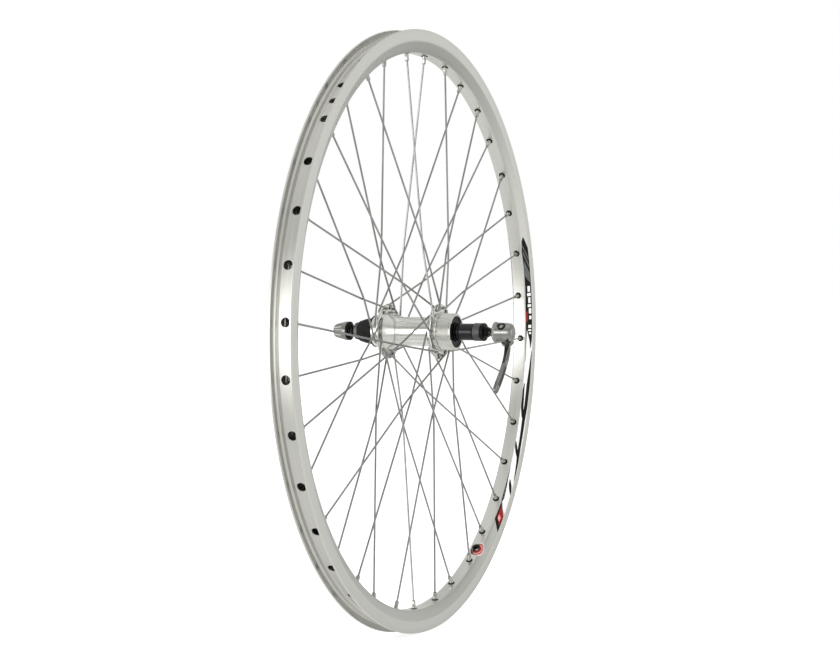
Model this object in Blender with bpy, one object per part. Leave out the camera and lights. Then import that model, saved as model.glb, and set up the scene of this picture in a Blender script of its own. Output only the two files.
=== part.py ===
"""Rear bicycle wheel with a quick-release skewer, 26 inch (ETRTO 559), 36 spokes, three-cross.

Origin: on the axle's centre line, in the rim's centre plane.  +Y runs along the axle away from
the sprocket side, +Z is up.  The sprocket (drive) side and the quick-release lever are on -Y.
All sizes are in metres.  Every turned piece is described by (y, radius) outlines in millimetres.
"""
import math

import bmesh
import bpy
from mathutils import Matrix, Vector

MM = 0.001

# ---- rim (ETRTO 559 double-wall, 21.5 mm wide) -------------------------------------------------
RIM_OUTER_R = 286.0
RIM_HALF_WIDTH = 10.75
RIM_INNER_R = 264.3
SPOKE_FACE_HALF_WIDTH = 6.25
RIM_SEGMENTS = 72
SPOKES = 36
FIRST_SPOKE_DEG = 97.3
NIPPLE_OFFSET_Y = 0.9
ACCESS_HOLE_R = 4.25
NIPPLE_HOLE_R = 2.7
VALVE_DEG = FIRST_SPOKE_DEG - 155.0
VALVE_HOLE_R = 4.3
JOINT_HOLE_DEG = FIRST_SPOKE_DEG + 35.0    # one more hole in the tyre bed only, near the rim's joint
JOINT_HOLE_R = 3.7

# ---- hub ---------------------------------------------------------------------------------------
OVER_LOCKNUTS = 135.0
FLANGE_R = 26.65
FLANGE_THICK = 3.2
HOLE_CIRCLE_R = 22.75
FLANGE_HOLE_R = 1.55
RIGHT_FLANGE_Y = -20.2
LEFT_FLANGE_Y = 33.3
BARREL_R = 13.75
THREAD_R = 17.45
RIGHT_END_Y = -38.0
LEFT_END_Y = 46.0

# ---- bearings ----------------------------------------------------------------------------------
BALLS = 9
BALL_R = 2.9
BALL_CIRCLE_R = 9.0
RACE_R = 3.3
RIGHT_BALLS_Y = -31.6
LEFT_BALLS_Y = 40.6
CUP_R = 13.0

# ---- axle and skewer ---------------------------------------------------------------------------
AXLE_R = 5.0
AXLE_BORE_R = 2.85
AXLE_HALF = 71.2
ROD_R = 2.45
ON_AXLE_R = 5.42
CAM_Y = -86.0
CAM_TILT_DEG = 43.0
CAM_THROW = 0.7
LEVER_LENGTH = 65.3

# ---- spokes ------------------------------------------------------------------------------------
SPOKE_R = 1.0
SPOKE_SIDES = 5
CROSS_AT = 0.2775
CROSS_HALF_GAP = 1.15
HUB_TURN_DEG = 60.0


for old in list(bpy.data.objects):
    bpy.data.objects.remove(old, do_unlink=True)

GUIDES = []


def material(name, colour, rough, metal):
    mat = bpy.data.materials.new(name)
    mat.use_nodes = True
    shader = mat.node_tree.nodes["Principled BSDF"]
    shader.inputs["Base Color"].default_value = (*colour, 1.0)
    shader.inputs["Roughness"].default_value = rough
    shader.inputs["Metallic"].default_value = metal
    mat.diffuse_color = (*colour, 1.0)
    return mat


MATS = {
    "rim_alloy": material("rim_alloy", (0.62, 0.61, 0.58), 0.32, 1.0),
    "hub_alloy": material("hub_alloy", (0.72, 0.72, 0.69), 0.22, 1.0),
    "stainless": material("stainless", (0.46, 0.46, 0.45), 0.3, 1.0),
    "bearing_steel": material("bearing_steel", (0.5, 0.5, 0.52), 0.15, 1.0),
    "black_plastic": material("black_plastic", (0.02, 0.02, 0.02), 0.45, 0.0),
    "black_rubber": material("black_rubber", (0.025, 0.025, 0.025), 0.75, 0.0),
    "dark_steel": material("dark_steel", (0.09, 0.09, 0.095), 0.35, 1.0),
    "black_steel": material("black_steel", (0.03, 0.03, 0.03), 0.4, 1.0),
    "skewer_alloy": material("skewer_alloy", (0.6, 0.6, 0.58), 0.2, 1.0),
    "lever_steel": material("lever_steel", (0.33, 0.33, 0.32), 0.2, 1.0),
}


def finish(bm, name, mat, guide=False):
    bmesh.ops.recalc_face_normals(bm, faces=bm.faces[:])
    mesh = bpy.data.meshes.new(name)
    bm.to_mesh(mesh)
    bm.free()
    obj = bpy.data.objects.new(name, mesh)
    bpy.context.scene.collection.objects.link(obj)
    if guide:
        obj.hide_render = True
        obj.display_type = "WIRE"
        GUIDES.append(obj)
    else:
        mesh.materials.append(MATS[mat])
        mesh.shade_smooth()
        mesh.set_sharp_from_angle(angle=math.radians(35))
    return obj


def boolean(obj, other, operation="DIFFERENCE"):
    mod = obj.modifiers.new(operation.lower(), "BOOLEAN")
    mod.operation = operation
    mod.object = other
    mod.solver = "EXACT"
    return mod


def turned(name, outline, segments, mat=None, guide=False, start_deg=0.0):
    """Spins an outline of (y, radius) points in millimetres about the Y axis.

    An outline with both ends at radius 0 makes a solid body; any other is closed into a ring.
    """
    bm = bmesh.new()
    a = math.radians(start_deg)
    verts = [bm.verts.new((r * math.cos(a) * MM, y * MM, r * math.sin(a) * MM)) for y, r in outline]
    closed = not (outline[0][1] == 0.0 and outline[-1][1] == 0.0)
    pairs = list(zip(verts, verts[1:]))
    if closed:
        pairs.append((verts[-1], verts[0]))
    edges = [bm.edges.new(p) for p in pairs]
    bmesh.ops.spin(bm, geom=verts + edges, cent=(0, 0, 0), axis=(0, 1, 0),
                   angle=2 * math.pi, steps=segments, use_merge=True)
    bmesh.ops.remove_doubles(bm, verts=bm.verts[:], dist=1e-6)
    bmesh.ops.dissolve_degenerate(bm, edges=bm.edges[:], dist=1e-7)
    return finish(bm, name, mat, guide)


def ring_of_points(bm, centre, normal, radius, sides, across=None, flat=1.0):
    """A loop of vertices round a centre, square to a direction.  flat squeezes it along across."""
    n = Vector(normal).normalized()
    u = Vector(across) if across is not None else n.orthogonal()
    u = (u - n * u.dot(n)).normalized()
    v = n.cross(u)
    c = Vector(centre)
    loop = []
    for i in range(sides):
        t = 2 * math.pi * (i + 0.5) / sides
        loop.append(bm.verts.new((c + u * (math.cos(t) * radius) + v * (math.sin(t) * radius * flat)) * MM))
    return loop


def skin(bm, loops, cap=True):
    """Joins neighbouring loops with quads and closes the two ends."""
    n = len(loops[0])
    for a, b in zip(loops, loops[1:]):
        for i in range(n):
            bm.faces.new((a[i], a[(i + 1) % n], b[(i + 1) % n], b[i]))
    if cap:
        bm.faces.new(loops[0][::-1])
        bm.faces.new(loops[-1])


def polar(radius, deg, y):
    a = math.radians(deg)
    return Vector((radius * math.cos(a), y, radius * math.sin(a)))


def stepped_pin(bm, axis_point, direction, steps, sides, across=None, flat=1.0):
    """A straight pin along a direction: steps are (distance along, radius, side shift vector).

    flat stretches it square to across, which makes a slot of a bore."""
    d = Vector(direction).normalized()
    loops = []
    for s, r, shift in steps:
        loops.append(ring_of_points(bm, Vector(axis_point) + d * s + Vector(shift), d, r, sides, across, flat))
    skin(bm, loops)


def spoke_data():
    """One entry for each spoke: rim angle, side (-1 right, +1 left), and which way it leans."""
    rows = []
    for k in range(SPOKES):
        side = -1 if k % 2 == 0 else 1
        j = k // 2
        outside = (side == -1 and j % 2 == 0) or (side == 1 and j % 2 == 1)
        rows.append((k, FIRST_SPOKE_DEG - 10.0 * k, side, outside))
    return rows


# ================================================================================================
# Rim: a turned double-wall section, hollowed, with 36 nipple and access holes, a valve hole and a joint hole
# ================================================================================================
W = RIM_HALF_WIDTH
half = [
    (SPOKE_FACE_HALF_WIDTH, RIM_INNER_R),
    (W, 274.6),
    (W, RIM_OUTER_R),
    (8.9, RIM_OUTER_R),
    (9.1, 279.7),
    (5.0, 276.2),
]
rim = turned("rim", half + [(-y, r) for y, r in reversed(half)], RIM_SEGMENTS, "rim_alloy")
hollow_half = [(5.4, 265.9), (9.3, 275.2), (5.2, 274.8)]
rim_hollow = turned("rim_hollow", hollow_half + [(-y, r) for y, r in reversed(hollow_half)],
                    RIM_SEGMENTS, guide=True)
boolean(rim, rim_hollow)

bm = bmesh.new()
for k, deg, side, outside in spoke_data():
    d = polar(1.0, deg, 0.0)
    foot = Vector((0, side * NIPPLE_OFFSET_Y, 0))
    stepped_pin(bm, foot, d, [(262.0, NIPPLE_HOLE_R, (0, 0, 0)), (269.5, NIPPLE_HOLE_R, (0, 0, 0)),
                              (270.5, ACCESS_HOLE_R, (0, -side * 0.5, 0)), (290.0, ACCESS_HOLE_R, (0, -side * 0.5, 0))],
                6, across=(0, 1, 0))
d = polar(1.0, VALVE_DEG, 0.0)
stepped_pin(bm, (0, 0, 0), d, [(262.0, VALVE_HOLE_R, (0, 0, 0)), (290.0, VALVE_HOLE_R, (0, 0, 0))], 8, across=(0, 1, 0))
d = polar(1.0, JOINT_HOLE_DEG, 0.0)
stepped_pin(bm, (0, 0, 0), d, [(270.5, JOINT_HOLE_R, (0, 0, 0)), (290.0, JOINT_HOLE_R, (0, 0, 0))], 8, across=(0, 1, 0))
rim_holes = finish(bm, "rim_holes", None, guide=True)
boolean(rim, rim_holes)

# ================================================================================================
# Hub shell: two drilled flanges, a barrel, and a freewheel thread on the right
# ================================================================================================
T = FLANGE_THICK / 2
L, Rf = LEFT_FLANGE_Y, RIGHT_FLANGE_Y
LEFT_SEAT = LEFT_BALLS_Y - 4.9
RIGHT_SEAT = RIGHT_BALLS_Y + 4.9
hub = turned("hub_shell", [
    (LEFT_END_Y, 13.3), (LEFT_END_Y, 15.0), (L + T + 1.6, 15.6), (L + T, 17.4),
    (L + T, 25.3), (L + 0.9, FLANGE_R), (L - 0.9, FLANGE_R), (L - T, 25.3),
    (L - T, 19.6), (20.0, 14.6), (16.5, BARREL_R), (-15.0, BARREL_R), (Rf + T, 17.6),
    (Rf + T, 25.3), (Rf + 0.9, FLANGE_R), (Rf - 0.9, FLANGE_R), (Rf - T, 25.3),
    (Rf - T, THREAD_R + 0.9), (Rf - T - 1.6, THREAD_R), (RIGHT_END_Y + 0.6, THREAD_R), (RIGHT_END_Y, THREAD_R - 0.6),
    (RIGHT_END_Y, 15.2), (RIGHT_END_Y + 2.2, 15.2), (RIGHT_END_Y + 2.2, 13.3),
    (RIGHT_SEAT, 13.3), (RIGHT_SEAT, 8.6), (LEFT_SEAT, 8.6), (LEFT_SEAT, 13.3),
], 24, "hub_alloy")
bm = bmesh.new()
for k, deg, side, outside in spoke_data():
    hole_deg = deg + (HUB_TURN_DEG if outside else -HUB_TURN_DEG)
    y = Rf if side == -1 else L
    p = polar(HOLE_CIRCLE_R, hole_deg, y)
    stepped_pin(bm, p, (0, 1, 0), [(-T - 1.0, FLANGE_HOLE_R, (0, 0, 0)), (T + 1.0, FLANGE_HOLE_R, (0, 0, 0))],
                6, across=polar(1.0, hole_deg, 0))
flange_holes = finish(bm, "flange_holes", None, guide=True)
boolean(hub, flange_holes)

# ================================================================================================
# Spokes: elbow and head at the hub, one bend where the pair is woven, nipple at the rim
# ================================================================================================
for k, deg, side, outside in spoke_data():
    hole_deg = deg + (HUB_TURN_DEG if outside else -HUB_TURN_DEG)
    flange_y = Rf if side == -1 else L
    out = side                      # outward direction along Y for this flange
    lean = out if outside else -out  # the side of the flange on which the spoke runs
    if outside:
        run_offset = 3.97 if side == -1 else 4.4
    else:
        run_offset = 2.95
    hub_p = polar(HOLE_CIRCLE_R, hole_deg, flange_y)
    hub_line = polar(HOLE_CIRCLE_R, hole_deg, flange_y + lean * run_offset)
    rim_p = polar(RIM_INNER_R, deg, side * NIPPLE_OFFSET_Y)
    mean_y = flange_y + CROSS_AT * (side * NIPPLE_OFFSET_Y - flange_y)
    cross = hub_line.lerp(rim_p, CROSS_AT)
    cross.y = mean_y + (-out if outside else out) * CROSS_HALF_GAP
    to_cross = (cross - hub_line).normalized()
    to_rim = (rim_p - cross).normalized()
    bend = 1.5
    along = Vector((0, lean, 0))
    nipple_dir = to_rim
    up = Vector((0, 1, 0)).cross(to_rim).normalized()
    bm = bmesh.new()
    loops = []

    def loop(centre, normal, radius):
        loops.append(ring_of_points(bm, centre, normal, radius, SPOKE_SIDES, across=up))

    head_out = FLANGE_THICK / 2 + 0.3
    loop(hub_p - along * (head_out + 1.1), along, 1.45)
    loop(hub_p - along * (head_out + 0.45), along, 1.9)
    loop(hub_p - along * head_out, along, SPOKE_R)
    loop(hub_line - along * bend, along, SPOKE_R)
    loop(hub_line + (to_cross - along) * bend * 0.28, (along + to_cross), SPOKE_R)
    loop(hub_line + to_cross * bend, to_cross, SPOKE_R)
    loop(cross, (to_cross + to_rim), SPOKE_R)
    nip = lambda s: rim_p + nipple_dir * s
    loop(nip(-7.6), nipple_dir, SPOKE_R)
    loop(nip(-7.3), nipple_dir, 1.75)
    loop(nip(2.05), nipple_dir, 2.0)
    loop(nip(2.35), nipple_dir, 3.05)
    loop(nip(4.2), nipple_dir, 2.3)
    skin(bm, loops)
    finish(bm, "spoke_%02d" % (k + 1), "stainless")

# ================================================================================================
# Bearings: cup in the hub, cone on the axle, nine caged balls between them, on each side
# ================================================================================================


def race(ball_y, out, start, stop, steps, radius, sign_y, sign_r):
    """Points of a curved ball track seen in section, centred on a ball."""
    pts = []
    for i in range(steps + 1):
        a = math.radians(start + (stop - start) * i / steps)
        pts.append((ball_y + out * sign_y * radius * math.sin(a), BALL_CIRCLE_R + sign_r * radius * math.cos(a)))
    return pts


def bearing(side_name, ball_y, out, cone_end, dust):
    cup = race(ball_y, out, 0, 84, 3, RACE_R, -1, 1)
    turned(side_name + "_bearing_cup", [(ball_y + out * 3.6, CUP_R), (ball_y + out * 3.6, 12.3)] + cup +
           [(ball_y - out * 3.7, 8.7), (ball_y - out * 4.6, 8.7), (ball_y - out * 4.6, CUP_R)], 16, "bearing_steel")
    cone = race(ball_y, out, 0, 84, 3, RACE_R, 1, -1)
    turned(side_name + "_cone", [(ball_y - out * 1.6, ON_AXLE_R), (ball_y - out * 1.6, 5.75)] + cone +
           [(cone_end, 8.6), (cone_end, ON_AXLE_R)], 16, "dark_steel" if side_name == "right" else "bearing_steel")
    band = turned(side_name + "_ball_cage", [(ball_y - 0.55, 8.5), (ball_y + 0.55, 8.5), (ball_y + 0.55, 9.5), (ball_y - 0.55, 9.5)],
                  BALLS, "bearing_steel")
    bm = bmesh.new()
    for i in range(BALLS):
        p = polar(BALL_CIRCLE_R, 360.0 / BALLS * i, ball_y) * MM
        bmesh.ops.create_icosphere(bm, subdivisions=1, radius=BALL_R * MM,
                                   matrix=Matrix.Translation(p) @ Matrix.Rotation(math.radians(17.0), 4, "X"))
    balls = finish(bm, side_name + "_balls_guide", None, guide=True)
    boolean(band, balls, "UNION")


bearing("right", RIGHT_BALLS_Y, -1, -42.0, None)
bearing("left", LEFT_BALLS_Y, 1, 63.2, None)

# Dust caps: a dished disc in the thread boss, and a flanged ring on the left end of the hub
turned("right_dust_cap", [(-38.3, 14.9), (-38.0, 14.3), (-37.0, 13.4), (-37.2, 9.2), (-36.2, 9.2), (-36.2, 14.9)],
       24, "black_plastic")
turned("left_dust_cap", [(44.6, 9.2), (47.4, 9.2), (47.4, 14.9), (46.9, 15.5), (46.3, 15.5), (46.3, 12.9), (44.6, 12.9)],
       24, "black_plastic")

# ================================================================================================
# Axle and what is threaded on it
# ================================================================================================
H = OVER_LOCKNUTS / 2
turned("axle", [(-AXLE_HALF, AXLE_BORE_R), (-AXLE_HALF, 4.4), (-AXLE_HALF + 0.6, AXLE_R), (AXLE_HALF - 0.6, AXLE_R),
                (AXLE_HALF, 4.4), (AXLE_HALF, AXLE_BORE_R)], 16, "black_steel")
turned("right_spacer", [(-42.3, ON_AXLE_R), (-42.3, 8.0), (-56.2, 8.0), (-56.2, ON_AXLE_R)], 16, "dark_steel")
turned("right_locknut", [(-56.5, ON_AXLE_R), (-56.5, 8.0), (-57.0, 8.5), (-64.2, 8.5), (-64.2, ON_AXLE_R)], 16, "dark_steel")
turned("right_lock_washer", [(-64.5, ON_AXLE_R), (-64.5, 8.6), (-66.8, 8.6), (-H, 8.0), (-H, ON_AXLE_R)], 16, "black_steel")
turned("left_boot", [(47.7, 8.95), (47.7, 12.9), (57.6, 11.4), (62.4, 9.9), (63.2, 8.95)], 20, "black_rubber")
turned("left_locknut", [(63.5, ON_AXLE_R), (63.5, 8.3), (66.9, 8.3), (H, 7.8), (H, ON_AXLE_R)], 16, "dark_steel")

# ================================================================================================
# Quick-release skewer: rod with an eye, cam housing, cam lever, nut with its face ring, two springs
# ================================================================================================
tilt = math.radians(CAM_TILT_DEG)
CAM = Vector((-math.cos(tilt), 0.0, math.sin(tilt)))     # along the cam shaft, towards its riveted end
DOWN = Vector((-math.sin(tilt), 0.0, -math.cos(tilt)))   # along the closed lever, square to the cam shaft
OUT = Vector((0.0, -1.0, 0.0))
cam_point = Vector((0.0, CAM_Y, 0.0))

housing = turned("cam_housing", [
    (-77.0, 5.75), (-77.0, 9.3), (-77.4, 9.85), (-78.5, 9.85), (-78.9, 9.5), (-93.2, 8.45), (-95.6, 7.4), (-96.3, 5.2),
    (-96.3, 0.0)][::-1] + [(-77.0, 0.0)], 20, "skewer_alloy")
housing_hollow = turned("housing_hollow", [(-76.0, 0.0), (-76.0, 5.9), (-79.1, 5.9), (-79.1, 6.8), (-93.4, 6.8), (-93.4, 0.0)],
                        16, guide=True)
boolean(housing, housing_hollow)
bm = bmesh.new()
stepped_pin(bm, cam_point, CAM, [(-14.0, 5.1, (0, 0, 0)), (0.0, 5.1, (0, 0, 0)), (0.02, 3.35, (0, 0, 0)),
                                 (7.6, 3.35, (0, 0, 0)), (7.62, 4.2, (0, 0, 0)), (14.0, 4.2, (0, 0, 0))], 12, across=(0, 1, 0))
housing_bore = finish(bm, "housing_bore", None, guide=True)
boolean(housing, housing_bore)

# The eye sits round the cam, whose centre is thrown outwards while the lever is closed.  Its bore is
# a slot, wider across the rod, so that the cam's centre can pass to the side half-way through.
eye_y = CAM_Y - CAM_THROW
rod = turned("skewer_rod", [(eye_y + 4.9, 0.0), (eye_y + 4.9, ROD_R), (88.2, ROD_R), (88.8, 1.9), (88.8, 0.0)], 12, "stainless")
bm = bmesh.new()
eye_c = Vector((0, eye_y, 0))
stepped_pin(bm, eye_c, CAM, [(-2.25, 5.9, (0, 0, 0)), (2.25, 5.9, (0, 0, 0))], 14, across=(0, 1, 0))
eye = finish(bm, "rod_eye", None, guide=True)
boolean(rod, eye, "UNION")
bm = bmesh.new()
stepped_pin(bm, eye_c, CAM, [(-4.0, 4.1, (0, 0, 0)), (4.0, 4.15, (0, 0, 0))], 14, across=(0, 1, 0), flat=1.15)
eye_bore = finish(bm, "rod_eye_bore", None, guide=True)
boolean(rod, eye_bore)

# Lever: root boss, journal, eccentric cam, journal and pin in one line; the arm hangs from the boss.
bm = bmesh.new()
throw = tuple(OUT * CAM_THROW)
none = (0, 0, 0)
stepped_pin(bm, cam_point, CAM, [(-15.0, 5.0, none), (-14.3, 6.0, none), (-10.3, 6.0, none), (-10.0, 4.65, none), (-2.55, 4.65, none),
                                 (-2.5, 3.7, throw), (2.5, 3.7, throw), (2.55, 2.9, none), (7.3, 2.9, none),
                                 (7.35, 2.0, none), (9.0, 2.0, none)], 14, across=(0, 1, 0))
lever = finish(bm, "lever", "lever_steel")


def arm_centre(s):
    """Centre of the arm at a distance s below the cam: it bows outwards and then runs straight."""
    bow = 7.2 * (1.0 - math.exp(-s / 19.0))
    inward = 0.010 * max(0.0, s - 34.0) ** 1.5
    return cam_point + CAM * (-12.6 + 1.9 * min(1.0, s / 40.0)) + DOWN * s + OUT * (bow - inward)


ARM = [  # distance below the cam, half width along the cam shaft, half thickness
    (0.5, 1.7, 2.6), (5.0, 2.3, 3.0), (11.0, 3.1, 2.8), (18.0, 3.5, 2.5), (27.0, 3.9, 2.2), (36.0, 4.1, 2.1),
    (46.0, 4.5, 2.1), (55.0, 4.7, 2.0), (61.0, 4.3, 1.9), (64.2, 3.1, 1.5), (LEVER_LENGTH, 1.6, 0.9)]
bm = bmesh.new()
loops = []
for i, (s, w, t) in enumerate(ARM):
    c = arm_centre(s)
    tangent = (arm_centre(s + 0.5) - arm_centre(s - 0.5)).normalized()
    wide = (CAM - tangent * CAM.dot(tangent)).normalized()
    thin = tangent.cross(wide)
    ring = []
    for a, b in ((1, 0.45), (0.72, 1), (-0.72, 1), (-1, 0.45), (-1, -0.45), (-0.72, -1), (0.72, -1), (1, -0.45)):
        ring.append(bm.verts.new((c + wide * (a * w) + thin * (b * t)) * MM))
    loops.append(ring)
skin(bm, loops)
arm = finish(bm, "lever_arm", None, guide=True)
boolean(lever, arm, "UNION")

bm = bmesh.new()
stepped_pin(bm, cam_point, CAM, [(7.95, 3.8, none), (8.75, 3.8, none)], 12, across=(0, 1, 0))
retainer = finish(bm, "cam_retaining_ring", "black_steel")
bm = bmesh.new()
stepped_pin(bm, cam_point, CAM, [(7.0, 2.35, none), (10.0, 2.35, none)], 12, across=(0, 1, 0))
retainer_bore = finish(bm, "retainer_bore", None, guide=True)
boolean(retainer, retainer_bore)

# Adjusting nut and the serrated ring that bears on the frame
turned("skewer_nut", [(75.0, 5.95), (75.0, 7.0), (76.0, 7.0), (76.0, 9.1), (77.4, 9.1), (77.7, 8.7), (78.3, 8.7), (78.6, 9.0),
                      (88.6, 6.6), (90.0, 5.4), (90.0, 2.8), (79.0, 2.8), (79.0, 5.95)], 20, "skewer_alloy")
turned("nut_face_ring", [(73.7, 6.1), (73.7, 8.8), (74.1, 9.1), (75.7, 9.1), (75.7, 7.35), (74.7, 7.35), (74.7, 6.1)], 20, "black_steel")


def cone_spring(name, y0, y1, r0, r1, turns, wire):
    """A conical coil of round wire about the Y axis, from the small end to the large end."""
    bm = bmesh.new()
    steps = int(turns * 8)
    loops = []
    pts = []
    for i in range(steps + 1):
        f = i / steps
        a = 2 * math.pi * turns * f
        r = r0 + (r1 - r0) * f
        pts.append(Vector((r * math.cos(a), y0 + (y1 - y0) * f, r * math.sin(a))))
    for i, p in enumerate(pts):
        t = pts[min(i + 1, steps)] - pts[max(i - 1, 0)]
        loops.append(ring_of_points(bm, p, t, wire, 4, across=(0, 1, 0)))
    skin(bm, loops)
    return finish(bm, name, "black_steel")


cone_spring("right_spring", -72.1, -78.3, 3.55, 4.75, 3.5, 0.5)
cone_spring("left_spring", 72.1, 78.3, 3.55, 4.75, 3.5, 0.5)
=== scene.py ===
import math

import bmesh
import bpy
import numpy as np
from mathutils import Matrix, Vector


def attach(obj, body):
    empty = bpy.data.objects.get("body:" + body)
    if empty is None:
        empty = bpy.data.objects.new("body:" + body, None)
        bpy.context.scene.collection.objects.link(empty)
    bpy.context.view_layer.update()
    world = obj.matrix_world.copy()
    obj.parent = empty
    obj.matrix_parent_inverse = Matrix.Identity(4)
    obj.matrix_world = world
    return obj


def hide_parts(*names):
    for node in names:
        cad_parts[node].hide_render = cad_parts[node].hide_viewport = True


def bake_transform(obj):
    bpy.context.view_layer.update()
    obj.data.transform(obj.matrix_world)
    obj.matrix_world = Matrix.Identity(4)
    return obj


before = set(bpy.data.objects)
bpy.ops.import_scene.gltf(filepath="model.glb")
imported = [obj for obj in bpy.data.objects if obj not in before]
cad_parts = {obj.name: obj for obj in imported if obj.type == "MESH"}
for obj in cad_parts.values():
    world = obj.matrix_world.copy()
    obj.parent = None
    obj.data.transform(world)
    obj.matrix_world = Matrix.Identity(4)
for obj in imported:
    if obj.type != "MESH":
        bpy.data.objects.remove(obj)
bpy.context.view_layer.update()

# All sizes below are in millimetres in the row frame: +Y along the axle away from the sprocket side,
# +Z up, origin in the rim's centre plane.  mesh_piece() turns them into metres.
MM = 0.001
TAU = 2 * math.pi


# ================================================================================================
# Materials
# ================================================================================================
class Tree:
    """A short way to write node trees."""

    def __init__(self, name):
        self.mat = bpy.data.materials.new(name)
        self.mat.use_nodes = True
        self.nt = self.mat.node_tree
        self.bsdf = self.nt.nodes["Principled BSDF"]
        self.out = self.nt.nodes["Material Output"]
        self.coord = self.nt.nodes.new("ShaderNodeTexCoord")

    def node(self, kind, **settings):
        n = self.nt.nodes.new(kind)
        for key, value in settings.items():
            setattr(n, key, value)
        return n

    def link(self, a, b):
        self.nt.links.new(a, b)

    def mapped(self, scale=(1, 1, 1), vector=None):
        m = self.node("ShaderNodeMapping")
        m.inputs["Scale"].default_value = scale
        self.link(vector or self.coord.outputs["Object"], m.inputs["Vector"])
        return m.outputs["Vector"]

    def noise(self, scale, detail=3.0, rough=0.5, vector=None):
        n = self.node("ShaderNodeTexNoise")
        n.inputs["Scale"].default_value = scale
        n.inputs["Detail"].default_value = detail
        n.inputs["Roughness"].default_value = rough
        self.link(vector or self.coord.outputs["Object"], n.inputs["Vector"])
        return n.outputs["Fac"]

    def ramp(self, fac, stops):
        r = self.node("ShaderNodeValToRGB")
        els = r.color_ramp.elements
        while len(els) < len(stops):
            els.new(0.5)
        for el, (pos, col) in zip(els, stops):
            el.position = pos
            el.color = (*col, 1.0) if len(col) == 3 else col
        self.link(fac, r.inputs["Fac"])
        return r.outputs["Color"]

    def math(self, op, a, b=None, clamp=False):
        m = self.node("ShaderNodeMath", operation=op, use_clamp=clamp)
        for i, x in enumerate((a, b)):
            if x is None:
                continue
            if isinstance(x, (int, float)):
                m.inputs[i].default_value = x
            else:
                self.link(x, m.inputs[i])
        return m.outputs[0]

    def spread(self, fac, low, high, from_low=0.3, from_high=0.7):
        m = self.node("ShaderNodeMapRange")
        m.inputs["From Min"].default_value = from_low
        m.inputs["From Max"].default_value = from_high
        m.inputs["To Min"].default_value = low
        m.inputs["To Max"].default_value = high
        self.link(fac, m.inputs["Value"])
        return m.outputs["Result"]

    def mix(self, fac, a, b, kind="MIX"):
        m = self.node("ShaderNodeMix", data_type="RGBA", blend_type=kind)
        for sock, x in ((m.inputs["Factor"], fac), (m.inputs["A"], a), (m.inputs["B"], b)):
            if isinstance(x, (int, float)):
                sock.default_value = x
            elif isinstance(x, tuple):
                sock.default_value = (*x, 1.0)
            else:
                self.link(x, sock)
        return m.outputs["Result"]

    def bump(self, height, strength, distance=0.0002):
        b = self.node("ShaderNodeBump")
        b.inputs["Strength"].default_value = strength
        b.inputs["Distance"].default_value = distance
        self.link(height, b.inputs["Height"])
        self.link(b.outputs["Normal"], self.bsdf.inputs["Normal"])

    def base(self, colour):
        if isinstance(colour, tuple):
            self.bsdf.inputs["Base Color"].default_value = (*colour, 1.0)
        else:
            self.link(colour, self.bsdf.inputs["Base Color"])

    def rough(self, value):
        if isinstance(value, (int, float)):
            self.bsdf.inputs["Roughness"].default_value = value
        else:
            self.link(value, self.bsdf.inputs["Roughness"])

    def metal(self, value):
        self.bsdf.inputs["Metallic"].default_value = value


def around(t):
    """Radius from the axle, in metres, and the angle round it."""
    s = t.node("ShaderNodeSeparateXYZ")
    t.link(t.coord.outputs["Object"], s.inputs[0])
    r = t.math("SQRT", t.math("ADD", t.math("MULTIPLY", s.outputs["X"], s.outputs["X"]),
                              t.math("MULTIPLY", s.outputs["Z"], s.outputs["Z"])))
    a = t.math("ARCTAN2", s.outputs["Z"], s.outputs["X"])
    return r, a, s.outputs["Y"]


def turned_lines(t, per_metre, vector_y, radius=None, weight=1.0):
    """Fine uneven rings, as a lathe leaves: noise that varies along the axis and the radius only."""
    c = t.node("ShaderNodeCombineXYZ")
    t.link(vector_y, c.inputs["X"])
    if radius is not None:
        t.link(radius, c.inputs["Y"])
    n = t.node("ShaderNodeTexNoise")
    n.inputs["Scale"].default_value = per_metre
    n.inputs["Detail"].default_value = 4.0
    n.inputs["Roughness"].default_value = 0.65
    t.link(c.outputs[0], n.inputs["Vector"])
    return n.outputs["Fac"]


def metal_material(name, dark, light, rough_low, rough_high, grain=900.0, lines=None, bump=0.12, spots=40.0):
    """Bare or plated metal: cloudy tone, fine grain or turned lines in roughness and bump."""
    t = Tree(name)
    t.metal(1.0)
    r, a, y = around(t)
    cloud = t.noise(spots, 3.0, 0.55)
    t.base(t.ramp(cloud, [(0.30, dark), (0.70, light)]))
    if lines:
        fine = turned_lines(t, lines, y, r)
    else:
        fine = t.noise(grain, 3.0, 0.6)
    t.rough(t.spread(fine, rough_low, rough_high))
    t.bump(fine, bump, 0.00006)
    return t.mat


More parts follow.
